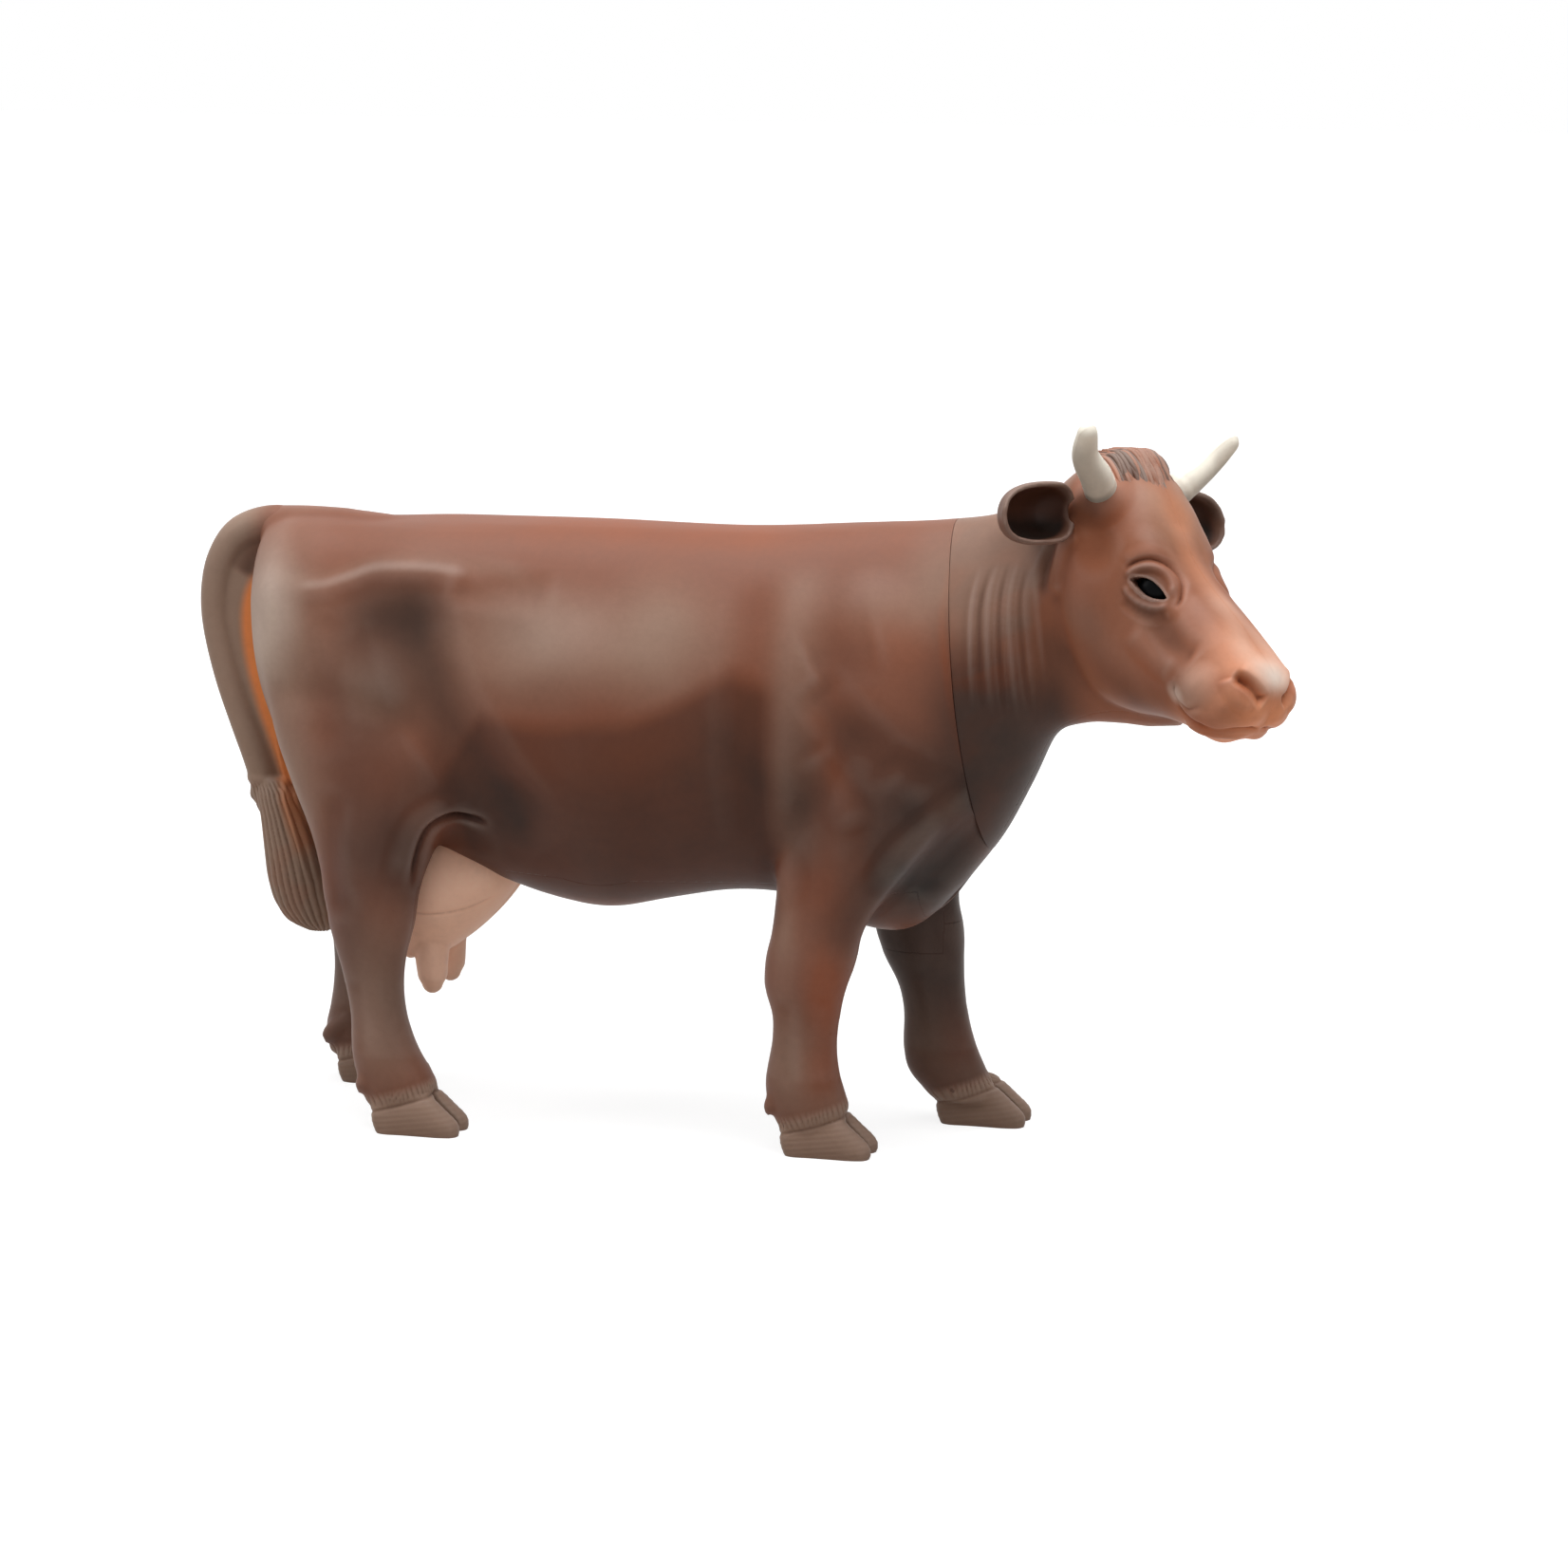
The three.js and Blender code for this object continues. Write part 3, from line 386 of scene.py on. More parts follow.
def parted(obj, low, high, name):
    """The part of the clay inside a box, as a piece of its own, and the rest."""
    tool = box_tool(low, high)
    inner = copied(obj, name)
    apply_modifier(inner, "BOOLEAN", operation="INTERSECT", object=tool, solver="MANIFOLD")
    apply_modifier(obj, "BOOLEAN", operation="DIFFERENCE", object=tool, solver="MANIFOLD")
    bpy.data.objects.remove(tool)
    return inner


# ---------------------------------------------------------------- shapes from section tables

def eased(rows, steps):
    """Rows joined by smooth curves in their first column, with this many steps in each gap."""
    table = np.array(rows, float)
    at = table[:, 0]
    slope = np.gradient(table, at, axis=0)
    out = []
    for i in range(len(at) - 1):
        gap = at[i + 1] - at[i]
        for k in range(steps):
            t = k / steps
            out.append((2 * t**3 - 3 * t**2 + 1) * table[i] + (t**3 - 2 * t**2 + t) * gap * slope[i]
                       + (3 * t**2 - 2 * t**3) * table[i + 1] + (t**3 - t**2) * gap * slope[i + 1])
    out.append(table[-1])
    return np.array(out)


def path_of(places, steps=6):
    """A smooth path through given points."""
    rows = np.array([(i, *p) for i, p in enumerate(places)], float)
    return eased(rows, steps)[:, 1:]


def tube(name, grid):
    """A closed tube from a sphere's rings: grid holds rings of points, each going round once."""
    count, around = grid.shape[:2]
    bpy.ops.object.select_all(action="DESELECT")
    bpy.ops.mesh.primitive_uv_sphere_add(segments=around, ring_count=count + 1, radius=1)
    obj = fresh(name)
    p = points(obj)
    ring = np.rint(np.arccos(np.clip(p[:, 2], -1, 1)) / math.pi * (count + 1)).astype(int)
    turn = np.rint(np.arctan2(p[:, 1], p[:, 0]) / (2 * math.pi) * around).astype(int) % around
    inside = (ring > 0) & (ring <= count)
    places = np.empty_like(p)
    places[inside] = grid[ring[inside] - 1, turn[inside]]
    places[ring == 0] = grid[0].mean(axis=0)
    places[ring == count + 1] = grid[-1].mean(axis=0)
    set_points(obj, places)
    outward(obj)
    return obj


def outward(obj):
    hold(obj)
    bpy.ops.object.mode_set(mode="EDIT")
    bpy.ops.mesh.select_all(action="SELECT")
    bpy.ops.mesh.normals_make_consistent(inside=False)
    bpy.ops.object.mode_set(mode="OBJECT")


def squared(value, power):
    """A sine or cosine drawn towards its ends: below 1 the section gets squarer."""
    return np.sign(value) * np.abs(value) ** power


def rings(rows, around):
    """Sections of a row table: how far along, and the (side, height) of each point, in shares."""
    turn = np.linspace(0, 2 * math.pi, around, endpoint=False)[None, :]
    at, low, high, half, shift, low_wide, high_wide, square = (rows[:, i, None] for i in range(8))
    up, out = np.sin(turn), np.cos(turn)
    wide = 1 + (np.where(up < 0, low_wide, high_wide) - 1) * up**2
    side = shift + half * wide * squared(out, square)
    height = (low + high) / 2 + (high - low) / 2 * up
    return at + 0 * up, side, height


def full_size(along, side, up):
    """Shares of the body's length, width and height as places in millimetres."""
    return np.stack([along * mm("body_length"), side * mm("body_width"), up * mm("withers_height")], -1)


def body_tube(name, table, around, steps=4):
    return tube(name, full_size(*rings(eased(table, steps), around)))


def leg_tube(leg):
    z, rear, front, half, apart, moved, rear_wide, front_wide, square = eased(leg.sections, 4).T
    columns = [z, rear + moved * leg.stance, front + moved * leg.stance, half, leg.side * apart,
               rear_wide, front_wide, square]
    at, side, along = rings(np.stack(columns, -1), 48)
    return tube(leg.name, full_size(along, side, at))


def tapered(path, shares, radii):
    """A radius for each point of a path, from the radii at a few shares of its length."""
    return np.interp(np.linspace(0, 1, len(path)), shares, radii)


def round_tube(name, path, radii, around, flat=1.0, side=(0, 1, 0)):
    """A round or flattened rod along a path, with domed ends."""
    way = np.gradient(path, axis=0)
    way /= np.linalg.norm(way, axis=1)[:, None]
    across = np.cross(way, side)
    across /= np.linalg.norm(across, axis=1)[:, None]
    level = np.cross(across, way)
    dome = [(-0.98, 0.2), (-0.8, 0.6), (-0.45, 0.89)]
    first = [path[0] + way[0] * radii[0] * s for s, _ in dome]
    last = [path[-1] - way[-1] * radii[-1] * s for s, _ in reversed(dome)]
    centres = first + list(path) + last
    sized = [radii[0] * c for _, c in dome] + list(radii) + [radii[-1] * c for _, c in reversed(dome)]
    pick = [0] * 3 + list(range(len(path))) + [len(path) - 1] * 3
    turn = np.linspace(0, 2 * math.pi, around, endpoint=False)
    grid = np.array([c + r * (np.cos(turn)[:, None] * level[k] + flat * np.sin(turn)[:, None] * across[k])
                     for c, r, k in zip(centres, sized, pick)])
    return tube(name, grid)


def ball(name, centre, radii, segments):
    bpy.ops.object.select_all(action="DESELECT")
    bpy.ops.mesh.primitive_uv_sphere_add(segments=segments, ring_count=segments // 2, radius=1,
                                         location=tuple(centre), scale=tuple(radii))
    obj = fresh(name)
    bpy.ops.object.transform_apply(location=True, rotation=True, scale=True)
    return obj


# ---------------------------------------------------------------- the head's own frame

HEAD_PLACE = np.array([65.68, -6.58, 106.05])
HEAD_TURN = np.array(Matrix.Rotation(math.radians(-30), 3, "Z") @ Matrix.Rotation(math.radians(-7.5), 3, "X")
                     @ Matrix.Rotation(math.radians(41), 3, "Y"))


def from_head(places):
    return np.asarray(places, float) @ HEAD_TURN.T + HEAD_PLACE


def to_head(places):
    return (np.asarray(places, float) - HEAD_PLACE) @ HEAD_TURN


# ---------------------------------------------------------------- carving

def reach(places, path):
    """How far each place is from a path, and how far along the path, 0 to 1."""
    best = np.full(len(places), 1e9)
    along = np.zeros(len(places))
    for i in range(len(path) - 1):
        run = path[i + 1] - path[i]
        t = np.clip((places - path[i]) @ run / max(run @ run, 1e-9), 0, 1)
        gap = np.linalg.norm(places - path[i] - t[:, None] * run, axis=1)
        closer = gap < best
        best[closer] = gap[closer]
        along[closer] = (i + t[closer]) / (len(path) - 1)
    return best, along


def soft(value):
    value = np.clip(value, 0, 1)
    return value * value * (3 - 2 * value)


def as_drawn(places, path):
    """The places with as many numbers as the path's: with two, across doesn't count and they are (along, up)."""
    return places[:, [0, 2]] if places.shape[1] > np.shape(path)[-1] else places


def stroke(places, route, width, sharp=False, taper=0.2):
    """1 on a given route, falling to 0 at its width and over the taper's share of each end."""
    path = path_of(route)
    places = as_drawn(places, path)
    result = np.zeros(len(places))
    margin = width + 0.1
    near = np.all((places > path.min(axis=0) - margin) & (places < path.max(axis=0) + margin), axis=1)
    if not near.any():
        return result
    gap, along = reach(places[near], path)
    share = np.clip(1 - gap / width, 0, 1)
    value = share**1.6 if sharp else soft(share)
    result[near] = value * soft(np.minimum(along, 1 - along) / taper + 0.02)
    return result


def patch(places, centre, radii):
    """1 at the centre of a rounded patch, falling to 0 at its radii."""
    r = np.linalg.norm((as_drawn(places, centre) - np.array(centre, float)) / np.array(radii, float), axis=1)
    return soft(1 - r)


def add_strokes(lift, places, rows, share=1.0, taper=0.2):
    for route, width, height, *sharp in rows:
        lift += height * share * stroke(places, route, width, bool(sharp), taper)


def add_patches(lift, places, rows):
    for centre, radii, height in rows:
        lift += height * patch(places, centre, radii)


def ripple(places, size, seed):
    """Slow, seeded waviness between -1 and 1."""
    rng = np.random.default_rng(seed)
    total = np.zeros(len(places))
    for _ in range(6):
        way = rng.normal(size=3)
        way *= 2 * math.pi / size / np.linalg.norm(way) * rng.uniform(0.6, 1.5)
        total += np.sin(places @ way + rng.uniform(0, 2 * math.pi))
    return total / 3.2


def both_sides(places):
    """The same places, folded over to the cow's right, for features that both sides share."""
    folded = places.copy()
    folded[:, 1] = -np.abs(folded[:, 1])
    return folded


def outward_share(here, facing, softness):
    """1 where the skin looks out to its own side, 0 where it doesn't."""
    return soft((-np.where(here[:, 1] > 0, -facing[:, 1], facing[:, 1]) - 0.02) / softness)


def raised(obj, here, facing, lift):
    """Each place moved along its normal by its lift, as strongly as the relief says."""
    set_points(obj, here + facing * (lift * sizes().relief)[:, None])


# ---------------------------------------------------------------- trunk and legs

def unstanced(places):
    """The left legs' places drawn back to where the right legs stand, and both sides folded to the right."""
    folded = both_sides(places)
    up = places[:, 2] / mm("withers_height")
    for leg in LEGS:
        if leg.side > 0:
            rows = np.array(leg.sections)
            moved = np.interp(up, rows[:, 0], rows[:, 5]) * leg.stance * mm("body_length")
            mine = (places[:, 1] > 0) & ((places[:, 0] > BETWEEN_LEGS) == leg.name.endswith("fore"))
            folded[mine, 0] -= moved[mine]
    return folded


def heel_of(leg):
    return leg.hoof * mm("body_length") - mm("claw_length") / 2


def parting_of(leg):
    return leg.side * leg.parting * mm("body_width")


def hoof_places(places, leg):
    """Places by one hoof: how far in front of the heel, out from the parting plane, and above the coronet."""
    ahead = places[:, 0] - heel_of(leg)
    out = np.abs(places[:, 1] - parting_of(leg))
    above = places[:, 2] - (CORONET_AT_HEEL + CORONET_RISE * np.clip(ahead, 0, 12))
    near = (places[:, 2] < 12.5) & (ahead > -4.5) & (ahead < 17.5) & (out < 7)
    return ahead, out, above, near


def claw_tube(leg, outward_side):
    rows = [(at, low, high, half, 0, 1, 0.85, 0.75) for at, low, high, half in CLAW]
    at, side, height = rings(eased(rows, 4), 32)
    middle = parting_of(leg) + outward_side * mm("claw_width") * 0.5
    places = [heel_of(leg) + at * mm("claw_length"), middle + side * mm("claw_width"), height * mm("claw_height")]
    return tube("claw", np.stack(places, -1))


def dewclaw(leg, outward_side):
    heel, middle = heel_of(leg), parting_of(leg) + outward_side * 2.6
    path = path_of([(heel + ahead, middle, up) for ahead, up in ((2.5, 11.5), (0.3, 9.6), (-1.5, 8.0), (-2.1, 7.0))], 4)
    return round_tube("dewclaw", path, tapered(path, [0, 0.5, 0.85, 1], [1.9, 1.8, 1.25, 0.7]), 20)


# looked at from the side: route of (along, up), width, height, and sharp where the stroke is
HIDE_STROKES = [
    ([(-78, 91.5), (-67, 92.2), (-62, 93.6), (-57, 95.4), (-48, 95.6), (-41, 94.6), (-34, 93)], 3.0, 0.3),
    ([(-53.5, 96.5), (-50.5, 88), (-47.6, 80), (-44.8, 73), (-40, 66), (-34, 58), (-28, 50)], 8.5, -1.25),
    ([(-45, 94), (-36, 93), (-26, 92.5)], 4.5, -0.4),
    ([(-66, 91), (-67.5, 79), (-64, 64)], 6.5, -0.4),
    ([(-51.6, 41), (-50.3, 46.5), (-48.9, 50.7), (-47.2, 53.2), (-44.2, 54.7), (-40.8, 54.3),
      (-38, 53.4)], 1.15, -1.15, "sharp"),
    ([(-53.6, 43), (-52, 49), (-49.4, 54), (-45, 56.6), (-40, 56.4)], 2.8, 0.35),
    ([(15.5, 100), (15.3, 88), (15.2, 76), (14.5, 62), (14.8, 48)], 6.0, 0.28),
    ([(8.0, 98), (8.0, 84), (8.0, 66), (9.0, 50)], 6.5, -0.45),
    ([(17, 83), (22, 85.6), (29, 88)], 7.0, -0.35),
    ([(17.5, 81), (22, 76), (28, 70), (33, 65)], 5.5, -0.6),
    ([(47, 64), (42, 61.0), (37.0, 56.8), (32, 51.5), (28.5, 45)], 3.4, 0.75),
    ([(49, 58), (43, 54.5), (37.5, 49), (33.5, 43.5)], 3.8, -0.65),
    ([(18, 70), (22, 64), (26, 56)], 4.5, 0.3),
    ([(13.0, 28), (13.2, 20), (13.4, 12)], 2.6, -0.22),
    ([(19.5, 28), (19.2, 20), (19.2, 12)], 2.6, 0.15),
    ([(-63.8, 60), (-64.8, 47), (-63, 36)], 4.0, -0.5),
    ([(-61.5, 27), (-61, 20), (-60, 12)], 2.6, -0.22),
]
# centre, radii, height
HIDE_PATCHES = [
    ((-57, -18, 85.5), (11, 14, 13), -0.9), ((-33, -19, 86), (13, 10, 8), -0.45),
    ((-56.5, -20, 77), (8, 9, 9), 0.65), ((-24, -22, 82), (14, 9, 12), 0.4), ((-77, -13, 90), (7, 7, 7), 0.45),
    ((-43, -17, 49), (7, 7, 5), -0.5), ((37, -16, 63), (6, 7, 5), 0.3), ((13.5, -17, 48), (5, 6, 6), 0.4),
    ((23.5, -13.5, 33), (4, 6, 6), 0.35), ((10.4, -13.5, 33), (3, 5, 4), 0.3), ((-66, -15, 41), (3.5, 6, 5), 0.4),
    ((-53, -15, 37), (3, 6, 6), 0.25), ((33, -14, 67), (6, 8, 6), -0.5), ((27, -15, 95), (8, 8, 6), 0.3),
    ((-5, -22, 60), (16, 9, 14), 0.3), ((30, 0, 40), (9, 8, 8), 0.5),
]


def hoof_lift(here, leg, number):
    """One hoof's groove and fringe at the coronet, its cleft and its fine rings."""
    ahead, out, above, near = hoof_places(here, leg)
    turn = np.arctan2(here[:, 1] - parting_of(leg), ahead - 5.5)
    band = soft(1 - np.abs(above - 1.5) / 1.9)
    slit = np.clip(1 - np.abs(np.sin(turn * 22 + 1.3 * np.sin(turn * 5 + number) + 0.9 * above)) / 0.6, 0, 1)
    lift = -CORONET_GROOVE * np.clip(1 - np.abs(above) / 0.45, 0, 1)
    lift += band * (0.16 - 0.24 * slit)
    lift -= CLEFT_DEPTH * np.clip(1 - out / 0.85, 0, 1) * soft((0.9 - above) / 1.2) * soft((ahead - 3) / 4)
    lift += 0.02 * np.sin(here[:, 2] * 7 - ahead) * (above < -0.3)
    return np.where(near, lift, 0) * soft((here[:, 2] + 0.2) / 0.8)


def carve_hide(obj):
    """Folds, hollows and bones of the trunk and legs, and the hooves' coronets and clefts."""
    here, facing = points(obj), normals(obj)
    spots = unstanced(here)
    lift = np.zeros(len(here))
    add_strokes(lift, spots, HIDE_STROKES, outward_share(here, facing, 0.35))
    add_patches(lift, spots, HIDE_PATCHES)
    lift += 0.10 * ripple(here, 26, 3) * soft((here[:, 2] - 14) / 10)
    for number, leg in enumerate(LEGS):
        lift += hoof_lift(here, leg, number)
    raised(obj, here, facing, lift)


def note_folds(obj, rounds, depth):
    """Keeps how deep in a crease (up to 1) or how high on an edge (down to -1) each place lies, for the painted shade
    in creases and the painted highlight on edges.
    """
    here = points(obj)
    gap = ((relaxed(here, edges(obj), rounds) - here) * normals(obj)).sum(axis=1)
    gap = relaxed(gap, edges(obj), 2)
    keep(obj, "fold", np.clip(gap / depth, -1, 1))


def keep(obj, name, values):
    layer = obj.data.attributes.get(name) or obj.data.attributes.new(name, "FLOAT", "POINT")
    layer.data.foreach_set("value", np.ascontiguousarray(values, dtype=np.float32))


def kept(obj, name):
    values = np.empty(len(obj.data.vertices), dtype=np.float32)
    obj.data.attributes[name].data.foreach_get("value", values)
    return values.astype(float)


def parting_groove(obj, place, direction, depth, shade, below=math.inf):
    """The rim of a parting face drawn in a little, so that the halves meet in a fine line; shade is its fold."""
    here, facing = points(obj), normals(obj)
    direction = np.array(direction, float)
    rim = (np.abs((here - place) @ direction) < ON_PLANE) & (here[:, 2] < below)
    flat = facing - (facing @ direction)[:, None] * direction
    size = np.maximum(np.linalg.norm(flat, axis=1), 1e-6)[:, None]
    here[rim] -= (flat / size * depth)[rim]
    set_points(obj, here)
    fold = kept(obj, "fold")
    fold[rim] = shade
    keep(obj, "fold", fold)


def hide_clay():
    root = path_of([(-56, 0, 96), (-66, 0, 98.2), (-75, 0, 99.6), (-81.5, 0, 100.2)], 5)
    shapes = [body_tube("trunk", TRUNK, 96), round_tube("tail_head", root, np.linspace(6.0, 3.5, 16), 32)]
    shapes += [leg_tube(leg) for leg in LEGS]
    clay = joined(shapes, "trunk_clay")
    sliced(clay, SEAM_POINT + SEAM_NORMAL * SEAM_SPARE, SEAM_NORMAL)
    remeshed(clay, CRUDE_HIDE_GRAIN, 2)
    evened(clay, 32, lambda p: soft((p[:, 2] - 28) / 12))
    shapes = [clay]
    for leg in LEGS:
        for outward_side in (-1, 1):
            shapes += [claw_tube(leg, outward_side), dewclaw(leg, outward_side)]
    clay = joined(shapes, "hide_clay")
    remeshed(clay, mm("hide_grain"), 4)
    evened(clay, 18, lambda p: soft((14 - p[:, 2]) / 2.5) * soft((p[:, 2] - 4) / 2.5))
    refined(clay, lambda c: c[:, 2] < 13)
    return clay


# what is sprayed where, looked at from the side: along, up, how far along and up, strength;
# the left side mirrors the right. The dark spots and lines also hold painted shade in the hollow under the hip's ridge,
# down the flank's valley, behind the stifle, in the crease under the arm and under the chest and brisket;
# the grey and whitish ones hold painted sheen and painted highlights on the rump, the flank and along ridges
UMBER_SPOTS = [
    (-57, 88, 10, 12, 0.65), (-54, 79, 8, 16, 0.4), (-44, 59, 13, 12, 0.6), (-51.5, 47, 9, 15, 0.72),
    (-57, 61, 13, 17, 0.4), (-54, 24, 6, 18, 0.3), (5, 72, 10, 9, 0.35), (24, 84, 9, 7, 0.25), (14, 72, 8, 20, 0.2),
    (24, 72, 13, 9, 0.5), (31, 59, 15, 17, 0.85), (48, 76, 17, 20, 0.85), (46, 62, 17, 20, 0.95),
    (36, 46, 19, 17, 1.0), (17, 57, 7, 18, 0.4), (24, 40, 5, 10, 0.35), (-60, 50, 12, 14, 0.25),
    (-62, 36, 9, 26, 0.45), (15, 60, 11, 16, 0.4), (51, 74, 9, 20, 0.6), (-48, 89, 10, 8, 0.4),
    (-61, 74, 13, 18, 0.35), (44, 90, 9, 8, 0.3), (30, 66, 12, 12, 0.35), (21, 44, 6, 14, 0.3),
    (-57, 50, 10, 14, 0.25),
]
RUST_SPOTS = [
    (-27, 62, 22, 14, 0.6), (-7, 62, 16, 13, 0.6), (20.5, 29, 5.5, 12, 0.85), (21, 46, 6, 9, 0.5),
    (19, 16, 6, 9, 0.4), (31, 37, 7, 4, 0.4), (-10, 103, 50, 5, 0.35), (30, 90, 11, 10, 0.3), (-20, 45, 40, 9, 0.8),
    (-55, 60, 8, 12, 0.2),
]
ASH_AND_SHEEN_SPOTS = [
    (-28, 85, 20, 13, 0.7), (-8, 86, 18, 14, 0.8), (29, 92, 12, 10, 0.3), (-77, 82, 14, 26, 1.0),
    (-74, 58, 13, 20, 0.8), (-50, 82, 34, 20, 0.35), (-57, 76, 9, 9, 0.35), (38, 96, 10, 12, 0.6),
    (13.3, 38, 4.5, 14, 0.4), (-57, 22, 12, 22, 0.65), (22, 8, 12, 8, 0.3), (13.5, 17, 7, 15, 0.65),
]
# the same as lines: route, how far to each side, strength
UMBER_LINES = [
    ([(-53, 97), (-50, 88), (-47, 80), (-44.5, 73), (-40, 66), (-34, 58), (-29, 51)], 8.0, 0.5),
    ([(50, 58), (43, 54), (37, 49), (33, 43)], 4.5, 0.6),
]
RUST_LINES = [
    ([(16.8, 77), (20.5, 70), (24.5, 62), (27, 55), (26.5, 47)], 3.6, 0.4),
    ([(39.5, 100), (38.5, 92), (40.5, 80), (43, 66)], 1.3, 0.5),
    ([(-50.5, 42), (-49, 48), (-46, 52.5), (-42, 53.5)], 2.2, 0.7),
]
ASH_AND_SHEEN_LINES = [
    ([(-82, 93.5), (-67, 94), (-60, 96), (-54, 97.2), (-47, 97.2), (-37, 96.4), (-30, 95)], 2.4, 0.2),
    ([(15.3, 100), (15.3, 88), (15.2, 76), (14.3, 62), (14, 48)], 7.5, 0.35),
    ([(47, 64), (42, 61.3), (37, 57.2), (32, 52)], 2.8, 0.3),
]
# painted highlights on the rump, the flank, the shoulder and along the hip's ridge
HIGHLIGHT_SPOTS = [(-77.5, 87, 9, 16, 0.34), (-26, 88, 20, 9, 0.08), (28, 94, 12, 7, 0.06)]
HIGHLIGHT_LINES = [
    ([(-72, 92.6), (-67, 93), (-62.5, 94.4), (-57, 96.2), (-47.6, 96.4), (-41, 95.4)], 1.2, 0.12),
]
# along and up: below this line the barrel is darker, with dark spray and painted shade on its underside
BARREL_SHADE = [(-48, 60), (-38, 72.5), (-24, 72.5), (-12, 74.5), (-2, 78.5), (5, 82), (12, 80)]


def over(*sprays):
    """Sprays laid one over another."""
    bare = 1
    for spray in sprays:
        bare = bare * (1 - spray)
    return 1 - bare


def sprayed(places, spots, seed):
    """Overlapping soft spray spots, with ragged edges."""
    total = np.zeros(len(places))
    for centre, radii, strength in spots:
        total = over(total, strength * patch(places, centre, radii))
    return np.clip(total * (1 + 0.25 * ripple(places, 9, seed)), 0, 1)


def side_sprayed(places, spots, lines, seed):
    """The same for spots and lines that are looked at from the side."""
    total = np.zeros(len(places))
    for along, up, wide, high, strength in spots:
        total = over(total, strength * patch(places, (along, up), (wide, high)))
    for route, width, strength in lines:
        total = over(total, strength * stroke(places, route, width, taper=0.12))
    return np.clip(total * (1 + 0.1 * ripple(places, 12, seed)), 0, 1)


def spray_hide(obj):
    here = points(obj)
    spots = unstanced(here)
    # painted shade, darker towards the bottom of the body
    below = soft((52 - here[:, 2]) / 40)
    # painted shade on the left legs, weaker on their outer sides, on the hind leg and low down
    left = soft((here[:, 1] - 1) / 7) * soft((62 - here[:, 2]) / 20)
    left *= 0.35 + 0.65 * soft((25 - here[:, 1]) / 5)
    left *= 0.6 + 0.4 * soft((here[:, 0] + 20) / 20)
    left *= 0.55 + 0.45 * soft((here[:, 2] - 12) / 14)
    # the barrel below its line: dark spray and painted shade
    barrel = soft((spots[:, 0] + 50) / 8) * soft((14 - spots[:, 0]) / 5) * soft((spots[:, 2] - 36) / 6)
    depth = np.interp(spots[:, 0], *np.transpose(BARREL_SHADE)) - spots[:, 2] + 0.9 * ripple(here, 24, 14)
    umber = side_sprayed(spots, UMBER_SPOTS, UMBER_LINES, 11)
    umber = over(umber, barrel * (0.62 * soft((depth + 2) / 5) + 0.16 * soft((depth - 5) / 12)))
    umber = over(umber, 0.15 * below, 0.85 * left)
    rust = side_sprayed(spots, RUST_SPOTS, RUST_LINES, 12)
    rust = over(rust, 0.5 * barrel * soft((depth + 2.5) / 5.5)) * (1 - left)
    ash = side_sprayed(spots, ASH_AND_SHEEN_SPOTS, ASH_AND_SHEEN_LINES, 13) * (1 - barrel * soft((depth + 1) / 4) * (spots[:, 0] < 10))
    tip = np.zeros(len(here))
    for leg in LEGS:
        _, _, above, near = hoof_places(here, leg)
        tip = np.maximum(tip, np.where(near, soft((3.4 - above) / 2.2), 0))
    keep(obj, "umber", umber * (1 - 0.75 * tip))
    keep(obj, "rust", rust * (1 - tip))
    keep(obj, "ash", ash * (1 - tip))
    keep(obj, "frost", side_sprayed(spots, HIGHLIGHT_SPOTS, HIGHLIGHT_LINES, 15) * (1 - tip))
    keep(obj, "tip", tip)


# ---------------------------------------------------------------- head and neck

EYE_PLACE = np.array([17.05, -8.7, 3.65])
EYE_ALONG = np.array([5.9, 1.8, 2.7]) / np.linalg.norm([5.9, 1.8, 2.7])
EYE_OUT = np.array([0.30, -0.90, 0.30])
EYE_OUT = EYE_OUT - (EYE_OUT @ EYE_ALONG) * EYE_ALONG
EYE_OUT /= np.linalg.norm(EYE_OUT)
EYE_UP = np.cross(EYE_OUT, EYE_ALONG)
EYE_UP *= np.sign(EYE_UP[2])
EYE_HALF, EYE_TOP, EYE_BOTTOM = 3.4, 1.45, -1.15  # the opening between the lids
EYE_HOLE = 3.4  # how deep it is cut
EYE_FULL = 1.15  # the ball is larger than the part of it that shows
EYE_BACK = 0.5  # how far it is set back behind the lids

# by the eye: route of (along, up) from the eye's middle, width, height, and sharp where the stroke is
LID_STROKES = [
    ([(-4.3, -0.3), (-3.4, 1.6), (-1.5, 2.9), (0.9, 3.0), (3.0, 1.8), (4.3, -0.4)], 1.1, 0.5),
    ([(-5.0, 0.8), (-4.0, 2.6), (-1.9, 4.1), (1.0, 4.2), (3.7, 2.9), (5.2, 0.6), (5.6, -1.6)], 0.8, -0.5, "sharp"),
    ([(-5.4, 1.8), (-4.6, 3.6), (-2.2, 5.3), (1.2, 5.4), (4.4, 3.9), (6.2, 1.2)], 1.8, 0.16),
    ([(-4.1, -0.9), (-2.8, -2.2), (-0.9, -2.8), (1.2, -2.9), (3.0, -2.4), (4.3, -1.2)], 1.0, 0.36),
    ([(-3.6, -3.2), (-1.6, -4.1), (0.8, -4.3), (3.2, -3.9), (4.9, -2.6)], 1.5, -0.26),
]
